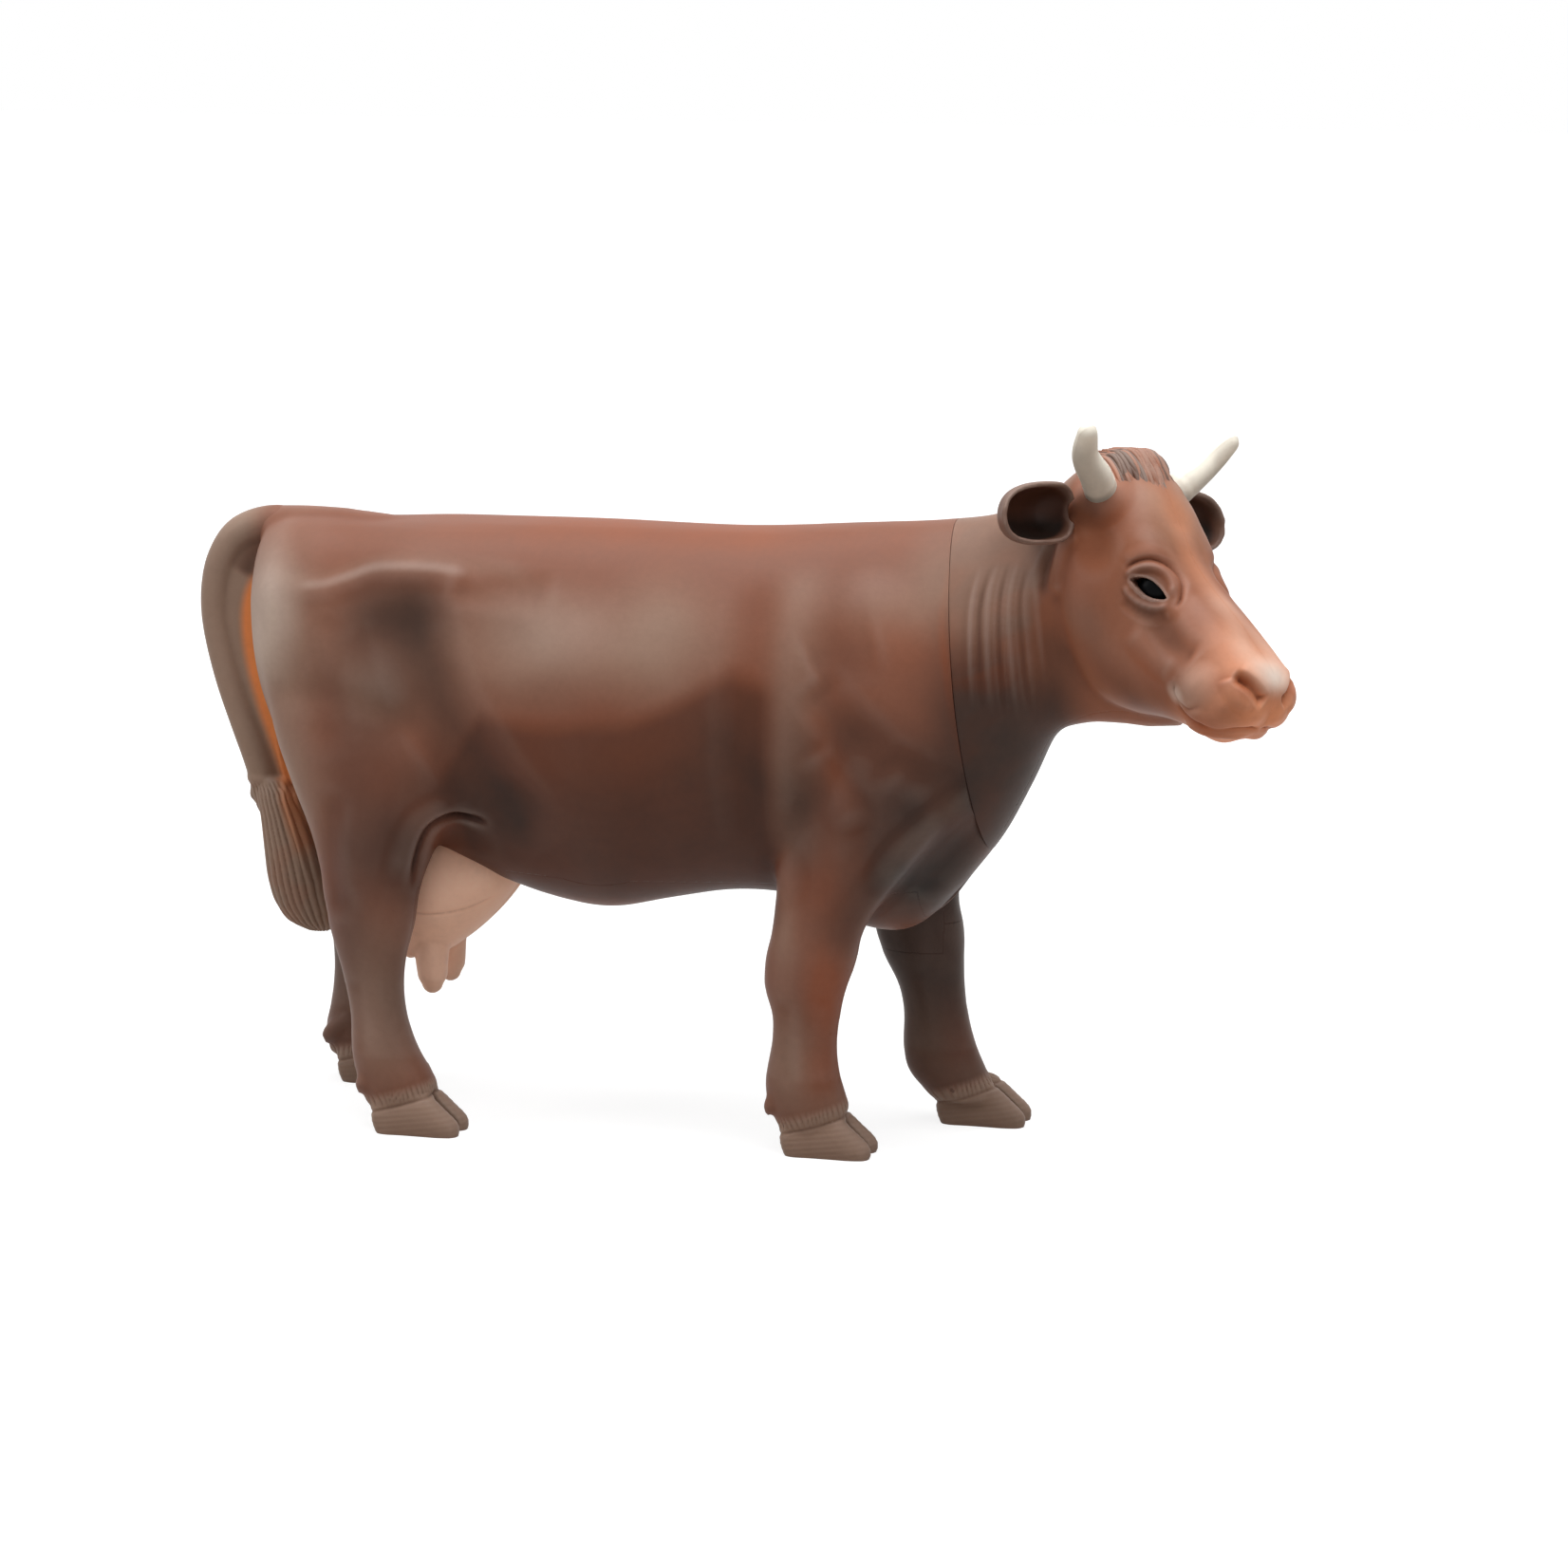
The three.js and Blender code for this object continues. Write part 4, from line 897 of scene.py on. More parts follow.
# on the head: route of (along, side, up) in the head's own frame, width, height, and sharp where the stroke is
FACE_STROKES = [
    ([(37.8, -6.8, 6.0), (39.3, -6.0, 6.4), (40.7, -4.6, 6.1), (41.8, -3.1, 5.3),
      (42.3, -2.0, 4.7)], 1.75, -1.9, "sharp"),
    ([(37.6, -7.3, 5.2), (39.3, -7.3, 4.6), (41.2, -6.2, 3.8), (42.8, -4.0, 3.7)], 2.0, 0.45),
    ([(37.2, -5.6, 7.4), (39.0, -4.4, 7.6), (40.8, -2.8, 7.0), (42.2, -1.6, 5.8)], 1.8, 0.2),
    ([(33.4, -8.3, -4.4), (35.5, -7.6, -5.3), (38.0, -7.1, -4.6), (40.6, -6.5, -2.5), (42.8, -4.6, -0.8),
      (43.8, -2.2, 0.1), (43.9, 0.4, 0.3)], 1.0, -0.95, "sharp"),
    ([(36.0, -6.8, -6.6), (39.2, -6.0, -5.2), (42.0, -4.0, -2.8), (43.0, 0, -1.9)], 1.8, 0.55),
    ([(34.5, -8.3, -3.2), (38.2, -7.8, -2.4), (41.4, -6.2, 0.4), (43.4, -3.0, 2.2), (43.8, 0, 2.6)], 2.0, 0.4),
    ([(32.0, -8.8, -1.8), (32.6, -8.8, -3.6), (34.4, -8.4, -4.3), (36.8, -8.4, -2.9),
      (38.6, -8.8, 0.2)], 1.0, -0.4, "sharp"),
    ([(-2.6, -10, 2), (-2.0, -10, -3), (-0.6, -10.2, -7), (1.6, -9.8, -10.6), (4.6, -9.2, -13.4)], 2.0, -0.65),
    ([(0.4, -10.4, 0), (1.2, -10.4, -4), (3.2, -10.4, -8), (6.4, -10.2, -11)], 2.4, 0.4),
    ([(21.5, -8.8, 2.5), (27, -8.8, 2.0), (32, -8.4, 3.0)], 3.4, -0.55),
    ([(19.5, -9.8, -2.8), (26, -9.4, -2.4), (31, -9.0, -1.0)], 3.2, 0.3),
    ([(8, 0, 10.6), (16, 0, 8.0), (26, 0, 7.4), (34, 0, 7.6)], 3.6, 0.35),
]
FACE_PATCHES = [
    ((35.4, -8.6, 0.6), (4.2, 3.2, 5.2), 0.95), ((12.0, -7.4, 7.6), (5, 4.5, 4), 0.35),
    ((6.5, -10.2, 0.5), (5, 4, 5), -0.45), ((9.5, -10.8, -7), (9, 4.5, 9), 0.4),
    ((40.2, 0, -6.4), (3, 5, 2.6), 0.7), ((7, 0, 10.8), (6, 5, 3), -0.4),
    ((43.2, -3.4, 3.6), (2.4, 3.2, 2.4), 0.35), ((17, -8.7, 3.6), (7.5, 5, 6.5), 0.4),
    ((-1.4, -8.6, 6.0), (6.5, 5.5, 6), 2.0),
]
# on the neck, looked at from the side: route of (along, up), width, height
NECK_STROKES = [
    ([(44.2, 100), (43.2, 94), (43.4, 87), (44.3, 76)], 0.7, 0.16),
    ([(47.2, 101), (46.0, 95), (46.4, 86), (47.3, 75)], 0.75, 0.12),
    ([(50.6, 101.5), (49.6, 95), (50.3, 85), (51.2, 74)], 0.8, 0.14),
    ([(55.6, 103), (54.2, 97), (55.0, 88), (55.9, 77)], 0.9, 0.09),
    ([(45.8, 100), (44.7, 94), (45.0, 87), (45.9, 76)], 0.7, -0.2),
    ([(49.0, 101), (47.9, 95), (48.4, 86), (49.3, 75)], 0.7, -0.2),
    ([(52.4, 101), (51.4, 95), (52.2, 86), (53.1, 75)], 0.8, -0.18),
]


def in_eye(places):
    """Places in the head's frame as (along, up, out) from the eye's middle, both sides folded."""
    offset = places - EYE_PLACE
    return np.stack([offset @ EYE_ALONG, offset @ EYE_UP, offset @ EYE_OUT], -1)


def eye_opening(eye):
    """1 between the lids, 0 outside."""
    along, up = eye[:, 0], eye[:, 1]
    s = np.clip((along + EYE_HALF) / (2 * EYE_HALF), 0, 1)
    upper = EYE_TOP * np.sin(math.pi * s**0.8) ** 0.8 - 0.1 - 0.5 * s
    lower = EYE_BOTTOM * np.sin(math.pi * s**1.15) ** 0.8 - 0.1 - 0.5 * s
    return soft(np.minimum(upper - up, up - lower) / 0.35) * (np.abs(along) < EYE_HALF)


def carve_face(obj):
    """Lids, eye holes, nostrils, mouth and cheeks, and the wrinkles of the neck."""
    here, facing = points(obj), normals(obj)
    in_frame = to_head(here)
    flip = np.where(in_frame[:, 1] > 0, -1, 1)
    head = both_sides(in_frame)
    head_facing = facing @ HEAD_TURN
    head_facing[:, 1] *= flip
    eye = in_eye(head)
    by_eye = soft((eye[:, 2] + 5) / 2) * (head_facing @ EYE_OUT > -0.1)
    lids = by_eye * np.where(flip < 0, 0.55, 1.0)
    lift = np.zeros(len(here))
    add_strokes(lift, eye[:, :2], LID_STROKES, lids, 0.15)
    add_strokes(lift, head, FACE_STROKES)
    add_patches(lift, head, FACE_PATCHES)
    add_strokes(lift, both_sides(here), NECK_STROKES, outward_share(here, facing, 0.3), 0.35)
    lift += 0.06 * ripple(here, 14, 5)
    inward = -EYE_OUT * np.stack([np.ones(len(here)), flip, np.ones(len(here))], -1)
    hole = EYE_HOLE * by_eye * eye_opening(eye)
    set_points(obj, here + facing * (lift * sizes().relief)[:, None] + inward @ HEAD_TURN.T * hole[:, None])


def face_clay():
    neck = [row for row in TRUNK if row[0] > 0.15]
    at, side, height = rings(eased(HEAD, 5), 80)
    face = tube("face", from_head(np.stack([at, side, height], -1) * mm("head_length")))
    clay = joined([body_tube("neck", neck, 80), face], "face_clay")
    sliced(clay, SEAM_POINT - SEAM_NORMAL * SEAM_SPARE, -SEAM_NORMAL)
    remeshed(clay, CRUDE_FACE_GRAIN, 2)
    evened(clay, 26, lambda p: soft((15 - to_head(p)[:, 0]) / 8))
    remeshed(clay, mm("face_grain"), 6)
    refined(clay, lambda c: fine_face(to_head(c)))
    return clay


def fine_face(head):
    """Where the face needs half the facet size: eyes, nostrils and mouth."""
    folded = both_sides(head)
    eye = in_eye(folded)
    by_eye = (np.abs(eye[:, 0]) < 6.5) & (np.abs(eye[:, 1]) < 6) & (np.abs(eye[:, 2]) < 5)
    return by_eye | (head[:, 0] > 32)


# centre in the head's own frame, radii, strength
# dark spray, with painted shade round the eye, down the side of the nose, under the jaw and at the back of the cheek
FACE_UMBER = [
    ((-6, -10, -8), (9, 9, 14), 0.4), ((17.2, -9, 4), (7, 5, 6), 0.7), ((24, -9, 1.5), (9, 5, 4), 0.5),
    ((26, -6, -12), (14, 9, 6), 0.3), ((8, -6, -18), (12, 10, 6), 0.4), ((34, -7, -7.5), (9, 7, 2.2), 0.12),
    ((-1, -10, -6), (3.5, 5, 12), 0.25), ((2, -9, 5), (7, 5, 5), 0.4), ((14, -11, -7), (14, 7, 11), 0.22),
    ((30, -9, -3), (7, 5, 8), 0.15), ((12, -5, 10), (10, 8, 5), 0.15),
]
FACE_RUST = [
    ((16, -7, 8), (7, 5, 4), 0.5), ((7, -11, -3), (9, 6, 8), 0.3), ((4, -9, 5), (6, 5, 5), 0.4),
    ((28, -9, -5), (8, 5, 4), 0.35), ((39, -6, -4.5), (7, 5, 2.5), 0.45), ((12, -9, -12), (12, 7, 6), 0.15),
]
# grey spray, and painted sheen on the bulge at the mouth's corner and on the forehead
FACE_ASH_AND_SHEEN = [
    ((35.2, -8.8, -0.4), (5, 3.4, 6), 0.5), ((6, -3, 11), (10, 8, 6), 0.5), ((13, -4, 9), (9, 7, 5), 0.3),
    ((14, -10, -10), (9, 5, 6), 0.2), ((20, -9.5, 0), (5, 4, 3), 0.2),
]
# the pale muzzle, with painted highlights on the nose bridge and the forehead
FACE_TIP_AND_HIGHLIGHT = [
    ((41, 0, 4), (14, 16, 12), 1.0), ((39, 0, -5), (12, 12, 9), 0.95), ((26, 1, 8), (18, 6, 5), 0.45),
    ((34, -3, 7), (10, 7, 5), 0.6), ((10, 0, 11), (14, 9, 6), 0.5),
]
# painted highlights on the tip of the muzzle, along the nose and on the bulge at the mouth's corner
FACE_HIGHLIGHT = [
    ((40.6, 0.2, 9.4), (6.5, 7.5, 4.6), 1.0), ((36, -3, 8.6), (9, 5, 2.6), 0.25),
    ((35.6, -8.8, 0.2), (6.5, 5, 8), 0.14), ((33.6, -8.6, -3.4), (3, 3, 2.2), 0.45),
    ((26, -1, 8.4), (10, 4, 2.5), 0.15),
]
NOSTRIL = ((39.8, -5.6, 6.0), (4.2, 3.6, 2.4))


def spray_face(obj):
    here = points(obj)
    head = both_sides(to_head(here))
    neck = soft((-head[:, 0] - 0.62 * (head[:, 2] + 4)) / 4)
    # painted shadow of the head on the throat
    throat_shade = soft((92 - here[:, 2]) / 16) * soft((64 - here[:, 0]) / 8)
    eye = in_eye(head)
    # the eye holes sprayed dark: painted shade
    inside = eye_opening(eye) * (eye[:, 2] > -4.5)
    nostril = patch(head, *NOSTRIL)
    umber = over(sprayed(head, FACE_UMBER, 21), 0.15 * neck, 0.85 * throat_shade)
    umber = np.maximum(umber, inside)
    mouth = np.maximum(patch(head, (39, -6.5, -3.6), (8, 5, 4.5)), patch(head, (37.6, -7.6, 4.0), (2.6, 3, 3.4)))
    tip = sprayed(head, FACE_TIP_AND_HIGHLIGHT, 24) * (1 - neck) * (1 - inside) * (1 - 0.85 * nostril) * (1 - 0.6 * mouth)
    rust = sprayed(head, FACE_RUST, 22) * (1 - neck) + 0.9 * nostril + 0.7 * mouth
    rust += 0.45 * neck * soft(ripple(here, 7, 25) + 0.3)
    keep(obj, "umber", umber * (1 - 0.7 * tip))
    keep(obj, "rust", np.clip(rust, 0, 1))
    # greyer towards the top of the neck: painted sheen
    keep(obj, "ash", np.clip(sprayed(head, FACE_ASH_AND_SHEEN, 23) + 0.6 * neck * soft((here[:, 2] - 82) / 12), 0, 1))
    keep(obj, "frost", sprayed(head, FACE_HIGHLIGHT, 26) * (1 - nostril))
    keep(obj, "tip", tip)
    keep(obj, "neck", neck)


# ---------------------------------------------------------------- finishes

def node(tree, kind, inputs=(), **settings):
    made = tree.nodes.new(kind)
    for name, value in settings.items():
        setattr(made, name, value)
    for name, value in dict(inputs).items():
        socket = made.inputs[name]
        if isinstance(value, bpy.types.NodeSocket):
            tree.links.new(value, socket)
        else:
            socket.default_value = value
    return made


def mixed(tree, factor, first, second, blend="MIX"):
    made = node(tree, "ShaderNodeMix", {0: factor, 6: first, 7: second},
                data_type="RGBA", blend_type=blend, clamp_factor=True)
    return made.outputs[2]


def sums(tree, operation, first, second=0.0, third=0.0, clamp=False):
    made = node(tree, "ShaderNodeMath", {0: first, 1: second, 2: third}, operation=operation, use_clamp=clamp)
    return made.outputs[0]


def noise(tree, place, scale, detail, roughness=0.5):
    inputs = {"Vector": place, "Scale": scale, "Detail": detail, "Roughness": roughness}
    return node(tree, "ShaderNodeTexNoise", inputs).outputs[0]


# the paint layers; the dark one also carries painted shade, the grey one painted sheen and the last one painted
# highlights
SPRAYS = ("umber", "rust", "ash", "tip", "frost")
BUMP_DEPTH = 0.00006  # in metres
PLASTIC_SHINE, EYE_SHINE, FLOOR_SHINE = 0.2, 0.06, 0.1


def airbrush_group():
    """Airbrushed colours over moulded plastic: soft sprays, painted shade in creases, painted highlights on raised
    edges.
    """
    if "Airbrushed plastic" in bpy.data.node_groups:
        return bpy.data.node_groups["Airbrushed plastic"]
    tree = bpy.data.node_groups.new("Airbrushed plastic", "ShaderNodeTree")
    sockets = [("Place", "INPUT", "Vector"), ("Base", "INPUT", "Color")]
    sockets += [(spray.title(), "INPUT", "Color") for spray in SPRAYS]
    sockets += [(f"{spray.title()} spray", "INPUT", "Float") for spray in SPRAYS]
    sockets += [("Fold", "INPUT", "Float"), ("Color", "OUTPUT", "Color"), ("Roughness", "OUTPUT", "Float"),
                ("Grain", "OUTPUT", "Float")]
    for label, way, kind in sockets:
        tree.interface.new_socket(name=label, in_out=way, socket_type=f"NodeSocket{kind}")
    given = tree.nodes.new("NodeGroupInput").outputs
    result = tree.nodes.new("NodeGroupOutput").inputs
    cloud = noise(tree, given["Place"], 85.0, 3.0, 0.55)
    speck = noise(tree, given["Place"], 900.0, 2.0, 0.6)
    grain = noise(tree, given["Place"], 2600.0, 2.0)
    ragged = sums(tree, "MULTIPLY_ADD", cloud, 0.4, 0.8)
    paint = given["Base"]
    for label in ("Rust", "Ash", "Umber", "Tip", "Frost"):
        share = given[f"{label} spray"]
        if label != "Tip":
            share = sums(tree, "MULTIPLY", share, ragged, clamp=True)
        paint = mixed(tree, share, paint, given[label])
    # painted shade darkens the creases and a painted highlight lightens the raised edges
    hollow_shade = sums(tree, "MULTIPLY", given["Fold"], 0.75, clamp=True)
    proud_highlight = sums(tree, "MULTIPLY", given["Fold"], -0.16, clamp=True)
    paint = mixed(tree, hollow_shade, paint, (0.42, 0.34, 0.30, 1), "MULTIPLY")
    paint = mixed(tree, proud_highlight, paint, (0.72, 0.62, 0.56, 1), "SCREEN")
    mottle = sums(tree, "ADD", sums(tree, "MULTIPLY", cloud, 0.6), sums(tree, "MULTIPLY", speck, 0.4))
    spread = sums(tree, "MULTIPLY_ADD", mottle, 0.36, 0.82)
    bright = node(tree, "ShaderNodeHueSaturation", {"Color": paint, "Value": spread}).outputs[0]
    tree.links.new(bright, result["Color"])
    rough = sums(tree, "MULTIPLY_ADD", cloud, 0.14, sums(tree, "MULTIPLY_ADD", speck, 0.08, 0.38))
    tree.links.new(sums(tree, "ADD", rough, sums(tree, "MULTIPLY", hollow_shade, 0.18)), result["Roughness"])
    tree.links.new(sums(tree, "MULTIPLY_ADD", speck, 0.6, sums(tree, "MULTIPLY", grain, 0.4)), result["Grain"])
    return tree


def layer(tree, name):
    return node(tree, "ShaderNodeAttribute", attribute_name=name, attribute_type="GEOMETRY").outputs["Fac"]


def new_material(name):
    material = bpy.data.materials.new(name)
    material.use_nodes = True
    tree = material.node_tree
    tree.nodes.clear()
    shader = tree.nodes.new("ShaderNodeBsdfPrincipled")
    out = tree.nodes.new("ShaderNodeOutputMaterial")
    tree.links.new(shader.outputs[0], out.inputs["Surface"])
    place = tree.nodes.new("ShaderNodeTexCoord").outputs["Object"]
    return material, tree, shader, place


def sprayed_material(name, base, tip, neck_base=None):
    """Moulded plastic with sprayed colours, painted shade and painted highlights, painted by the piece's own spray
    layers.
    """
    material, tree, shader, place = new_material(name)
    first = tuple(base)
    if neck_base is not None:
        first = mixed(tree, layer(tree, "neck"), first, tuple(neck_base))
    given = {"Place": place, "Base": first, "Fold": layer(tree, "fold")}
    for spray in SPRAYS:
        given[spray.title()] = tuple(tip if spray == "tip" else getattr(tints(), spray))
        given[f"{spray.title()} spray"] = layer(tree, spray)
    group = node(tree, "ShaderNodeGroup", given, node_tree=airbrush_group())
    tree.links.new(group.outputs["Color"], shader.inputs["Base Color"])
    tree.links.new(group.outputs["Roughness"], shader.inputs["Roughness"])
    bump = node(tree, "ShaderNodeBump", {"Height": group.outputs["Grain"], "Strength": 0.35, "Distance": BUMP_DEPTH})
    tree.links.new(bump.outputs[0], shader.inputs["Normal"])
    shader.inputs["Specular IOR Level"].default_value = PLASTIC_SHINE
    return material


def plain_layers(obj):
    """Empty layers where a piece has none of its own."""
    for name in (*SPRAYS, "neck", "fold"):
        if obj.data.attributes.get(name) is None:
            keep(obj, name, np.zeros(len(obj.data.vertices)))


def set_down(obj, body, material, slot, *nodes):
    """A finished piece: scaled to metres at its place, smooth, with its finish, and tied to the CAD."""
    plain_layers(obj)
    set_points(obj, (points(obj) + SHIFT) * MM)
    hold(obj)
    bpy.ops.object.shade_smooth_by_angle(angle=math.radians(SMOOTH_ANGLE))
    obj.data.materials.clear()
    obj.data.materials.append(material)
    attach(obj, body)
    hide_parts(*nodes)


# ---------------------------------------------------------------- smaller pieces

def udder_clay():
    """The bag with its four teats; the rear two are shorter."""
    shapes = [body_tube("bag", UDDER, 48, 6)]
    for along, short in TEATS:
        for across in (-TEAT_APART, TEAT_APART):
            x, y, top = along * mm("body_length"), across * mm("body_width"), TEAT_TOP * mm("withers_height")
            path = path_of([(x, y, top + 4), (x, y, top), (x + 0.1, y * 1.02, top - 4 + short / 2),
                            (x + 0.2, y * 1.04, top - 7.2 + short), (x + 0.2, y * 1.04, top - 9.1 + short)], 4)
            radii = tapered(path, [0, 0.3, 0.6, 0.9, 1], [3.9, 3.2, 2.8, 2.45, 1.9])
            shapes.append(round_tube("teat", path, radii, 32, side=(1, 0, 0)))
    clay = joined(shapes, "udder_clay")
    remeshed(clay, UDDER_GRAIN, 6)
    refined(clay, lambda c: c[:, 2] < 34)
    here, facing = points(clay), normals(clay)
    folded = both_sides(here)
    # the furrow along the middle, the one between the teats, and the seam under the belly
    lift = -0.5 * soft(1 - np.abs(here[:, 1]) / 1.8) * soft((-facing[:, 2] - 0.1) / 0.4)
    lift -= 0.3 * stroke(folded, [(-54.3, 0, 30), (-54.3, -6, 30.5), (-54, -10, 34)], 1.6)
    lift -= 0.22 * stroke(folded, [(-58, 37.5), (-52, 36.2), (-45, 37.2), (-39, 40)], 0.6, sharp=True)
    raised(clay, here, facing, lift)
    return clay


def tail_clay():
    """A rope with a brushed switch, and the web between it and the rump."""
    rope_path = path_of(full_size(*np.transpose(TAIL)), 5)
    rope = round_tube("tail_rope", rope_path, np.linspace(3.4, 2.5, len(rope_path)), 32)
    given = np.array(SWITCH)
    rows = eased([(z, rear, front, half, 0, 1, 1, 0.8) for z, rear, front, half, _ in SWITCH], 5)
    rows[:, 4] = np.interp(rows[:, 0], given[:, 0], given[:, 4])
    at, side, along = rings(rows, 40)
    switch = tube("tail_switch", full_size(along, side, at))
    turn = np.linspace(0, 2 * math.pi, 24, endpoint=False)
    forward, across = squared(np.cos(turn), WEB_SQUARE), squared(np.sin(turn), WEB_SQUARE)
    sections = []
    for up, behind, ahead in eased(WEB, 4):
        along = ((behind + ahead) / 2 + (ahead - behind) / 2 * forward) * mm("body_length")
        sections.append(np.stack([along, WEB_PLACE + WEB_HALF * across, up * mm("withers_height") + 0 * turn], -1))
    clay = joined([rope, switch, tube("tail_web", np.array(sections))], "tail_clay")
    remeshed(clay, TAIL_GRAIN, 4)
    refined(clay, lambda c: c[:, 2] < 64)
    here, facing = points(clay), normals(clay)
    up = here[:, 2] / mm("withers_height")
    rear, front = (np.interp(up, given[:, 0], given[:, k]) * mm("body_length") for k in (1, 2))
    share = (here[:, 0] - rear) / np.maximum(front - rear, 1)
    hair = np.abs(np.sin(math.pi * 8.5 * share + 0.9 * np.sin(here[:, 2] * 0.23) + 0.5 * ripple(here, 12, 31)))
    in_hair = soft((56.6 - here[:, 2]) / 1.5)
    # strands, the edge where the hair begins, a knob at the tail's end and three deeper locks
    lift = in_hair * (0.34 * hair**0.7 - 0.24)
    lift += 0.25 * soft(1 - np.abs(here[:, 2] - 56.5) / 1.2) * (here[:, 0] < -78)
    lift += 0.75 * patch(here, (-85.4, -1.6, 53.6), (1.4, 2.4, 2.2))
    for shift in (0.0, 1.5, 2.9):
        route = [(-81.8 + shift, 66), (-79.6 + shift, 57), (-76.6 + shift, 48), (-74.0 + shift, 39)]
        lift += 0.3 * stroke(here, route, 0.75)
    raised(clay, here, facing, lift)
    return clay


def spray_tail(obj):
    here = points(obj)
    low = soft((58 - here[:, 2]) / 3)
    groove = [(-81.0, 95), (-85.0, 88), (-85.4, 80), (-83.2, 70), (-79.8, 60), (-76.5, 50), (-73.5, 42)]
    inner = stroke(here, groove, 2.4, taper=0.08)
    # painted shade in the recess between the tail's root and the rump
    recess_shade = stroke(here, [(-79, 96.5), (-84, 95.2), (-86.6, 91)], 4.4)
    keep(obj, "neck", soft((here[:, 0] + 87) / 7) * soft((here[:, 2] - 93) / 5))
    keep(obj, "umber", np.clip(0.05 * low + 0.75 * recess_shade - 0.3 * inner + 0.08 * ripple(here, 16, 33), 0, 1))
    keep(obj, "rust", np.clip(0.4 * recess_shade + 0.2 * low * soft(ripple(here, 8, 34)), 0, 1))
    keep(obj, "tip", np.clip(1.1 * inner * (1 - recess_shade), 0, 0.9) * (1 - 0.55 * low) * soft((here[:, 2] - 40) / 12))
    # grey, with painted sheen on the tail's rear edge
    keep(obj, "ash", 0.35 * soft((-85 - here[:, 0]) / 4) + 0.2 * low)


# the right ear's root and its three directions, in the head's own frame
EAR_ROOT = np.array([-2.2, -10.4, 0.3])
EAR_ALONG = np.array([0.017, -1, -0.03])
EAR_OPEN = np.array([0.655, 0, 0.756])
EAR_ACROSS = np.array([-0.756, 0, 0.655])


def ear_clay(side):
    """A cupped ear, rolled at its rim, open to the front, on a short root."""
    grow = mm("head_length")
    bpy.ops.object.select_all(action="DESELECT")
    bpy.ops.mesh.primitive_grid_add(x_subdivisions=40, y_subdivisions=30, size=2)
    cup = fresh("ear_cup")
    p = points(cup)
    s = (p[:, 0] + 1) / 2
    turn = p[:, 1] * math.radians(104) * (1 - 0.16 * s**4)
    rows = eased(EAR, 4)
    half, depth = (np.interp(s, rows[:, 0], rows[:, k]) * grow for k in (1, 2))
    shape = [0.350 * grow * s, half * np.sin(turn) + 0.2 - 0.6 * s, 1.0 - depth * np.cos(turn) + 0.8 * s**2]
    set_points(cup, EAR_ROOT + np.stack(shape, -1) @ np.stack([EAR_ALONG, EAR_ACROSS, EAR_OPEN]))
    outward(cup)
    apply_modifier(cup, "SOLIDIFY", thickness=0.8, offset=0.0, use_even_offset=False)
    apply_modifier(cup, "SUBSURF", levels=2, render_levels=2)
    root_path = path_of([(-3.2, -6.0, -2.2), (-4.2, -9.4, -3.2), (-5.2, -12.6, -4.2)])
    root = round_tube("ear_root", root_path, np.linspace(3.4, 2.2, len(root_path)), 24, side=(1, 0, 0))
    clay = joined([cup, root], "ear_clay")
    remeshed(clay, EAR_GRAIN, 4)
    evened(clay, 60, lambda p: soft((np.abs((p - EAR_ROOT) @ EAR_ALONG - 7) - 1) / 5))
    here, facing = points(clay), normals(clay)
    along, across, out = ((here - EAR_ROOT) @ axis for axis in (EAR_ALONG, EAR_ACROSS, EAR_OPEN))
    inner = soft((0.9 - out) / 1.8) * soft((facing @ EAR_OPEN + 0.15) / 0.5) * soft((along + 1) / 2)
    here[:, 1] *= -side
    set_points(clay, from_head(here))
    if side > 0:  # mirroring has turned the faces inside out
        outward(clay)
    note_folds(clay, 8, 0.12)
    # the cup sprayed dark inside, darker still towards its lower edge: painted shade in the hollow; the top of the rim
    # gets a painted highlight
    keep(clay, "umber", np.clip(0.42 + 0.35 * inner + 0.4 * inner * soft((1 - across) / 5), 0, 1))
    keep(clay, "rust", 0.35 * inner)
    keep(clay, "ash", 0.3 * (1 - inner))
    keep(clay, "frost", 0.07 * soft((out + 0.2) / 1.0) * soft((across + 1) / 3) * (1 - inner))
    return clay


def horn_tube(side):
    """A curved horn with a mould line all round."""
    path = path_of(HORN, 8) * mm("head_length")
    path[:, 1] *= side
    path = from_head(path)
    radii = tapered(path, [0, 0.3, 0.6, 0.85, 1], [0.94, 0.9, 0.78, 0.66, 0.56]) * mm("horn_radius")
    horn = round_tube("horn", path, radii, 40, side=HEAD_TURN[:, 0])
    apply_modifier(horn, "SUBSURF", levels=1, render_levels=1)
    here, facing = points(horn), normals(horn)
    _, along = reach(here, path)
    nearest = path[np.clip(np.rint(along * (len(path) - 1)).astype(int), 0, len(path) - 1)]
    off = np.abs((here - nearest) @ HEAD_TURN[:, 0])
    lift = 0.08 * np.clip(1 - off / 0.22, 0, 1)
    lift += 0.04 * np.sin(along * 42) * soft((0.45 - along) / 0.3)
    raised(horn, here, facing, lift)
    # painted shade on the side that looks forward and outward, and a painted shadow at the root
    outer = soft((facing @ (HEAD_TURN @ np.array([0.55, 0.75 * side, -0.1])) - 0.1) / 0.7)
    keep(horn, "umber", np.clip(0.34 * outer * soft((1.05 - along) / 0.3) + 0.3 * soft((0.2 - along) / 0.15), 0, 1))
    return horn


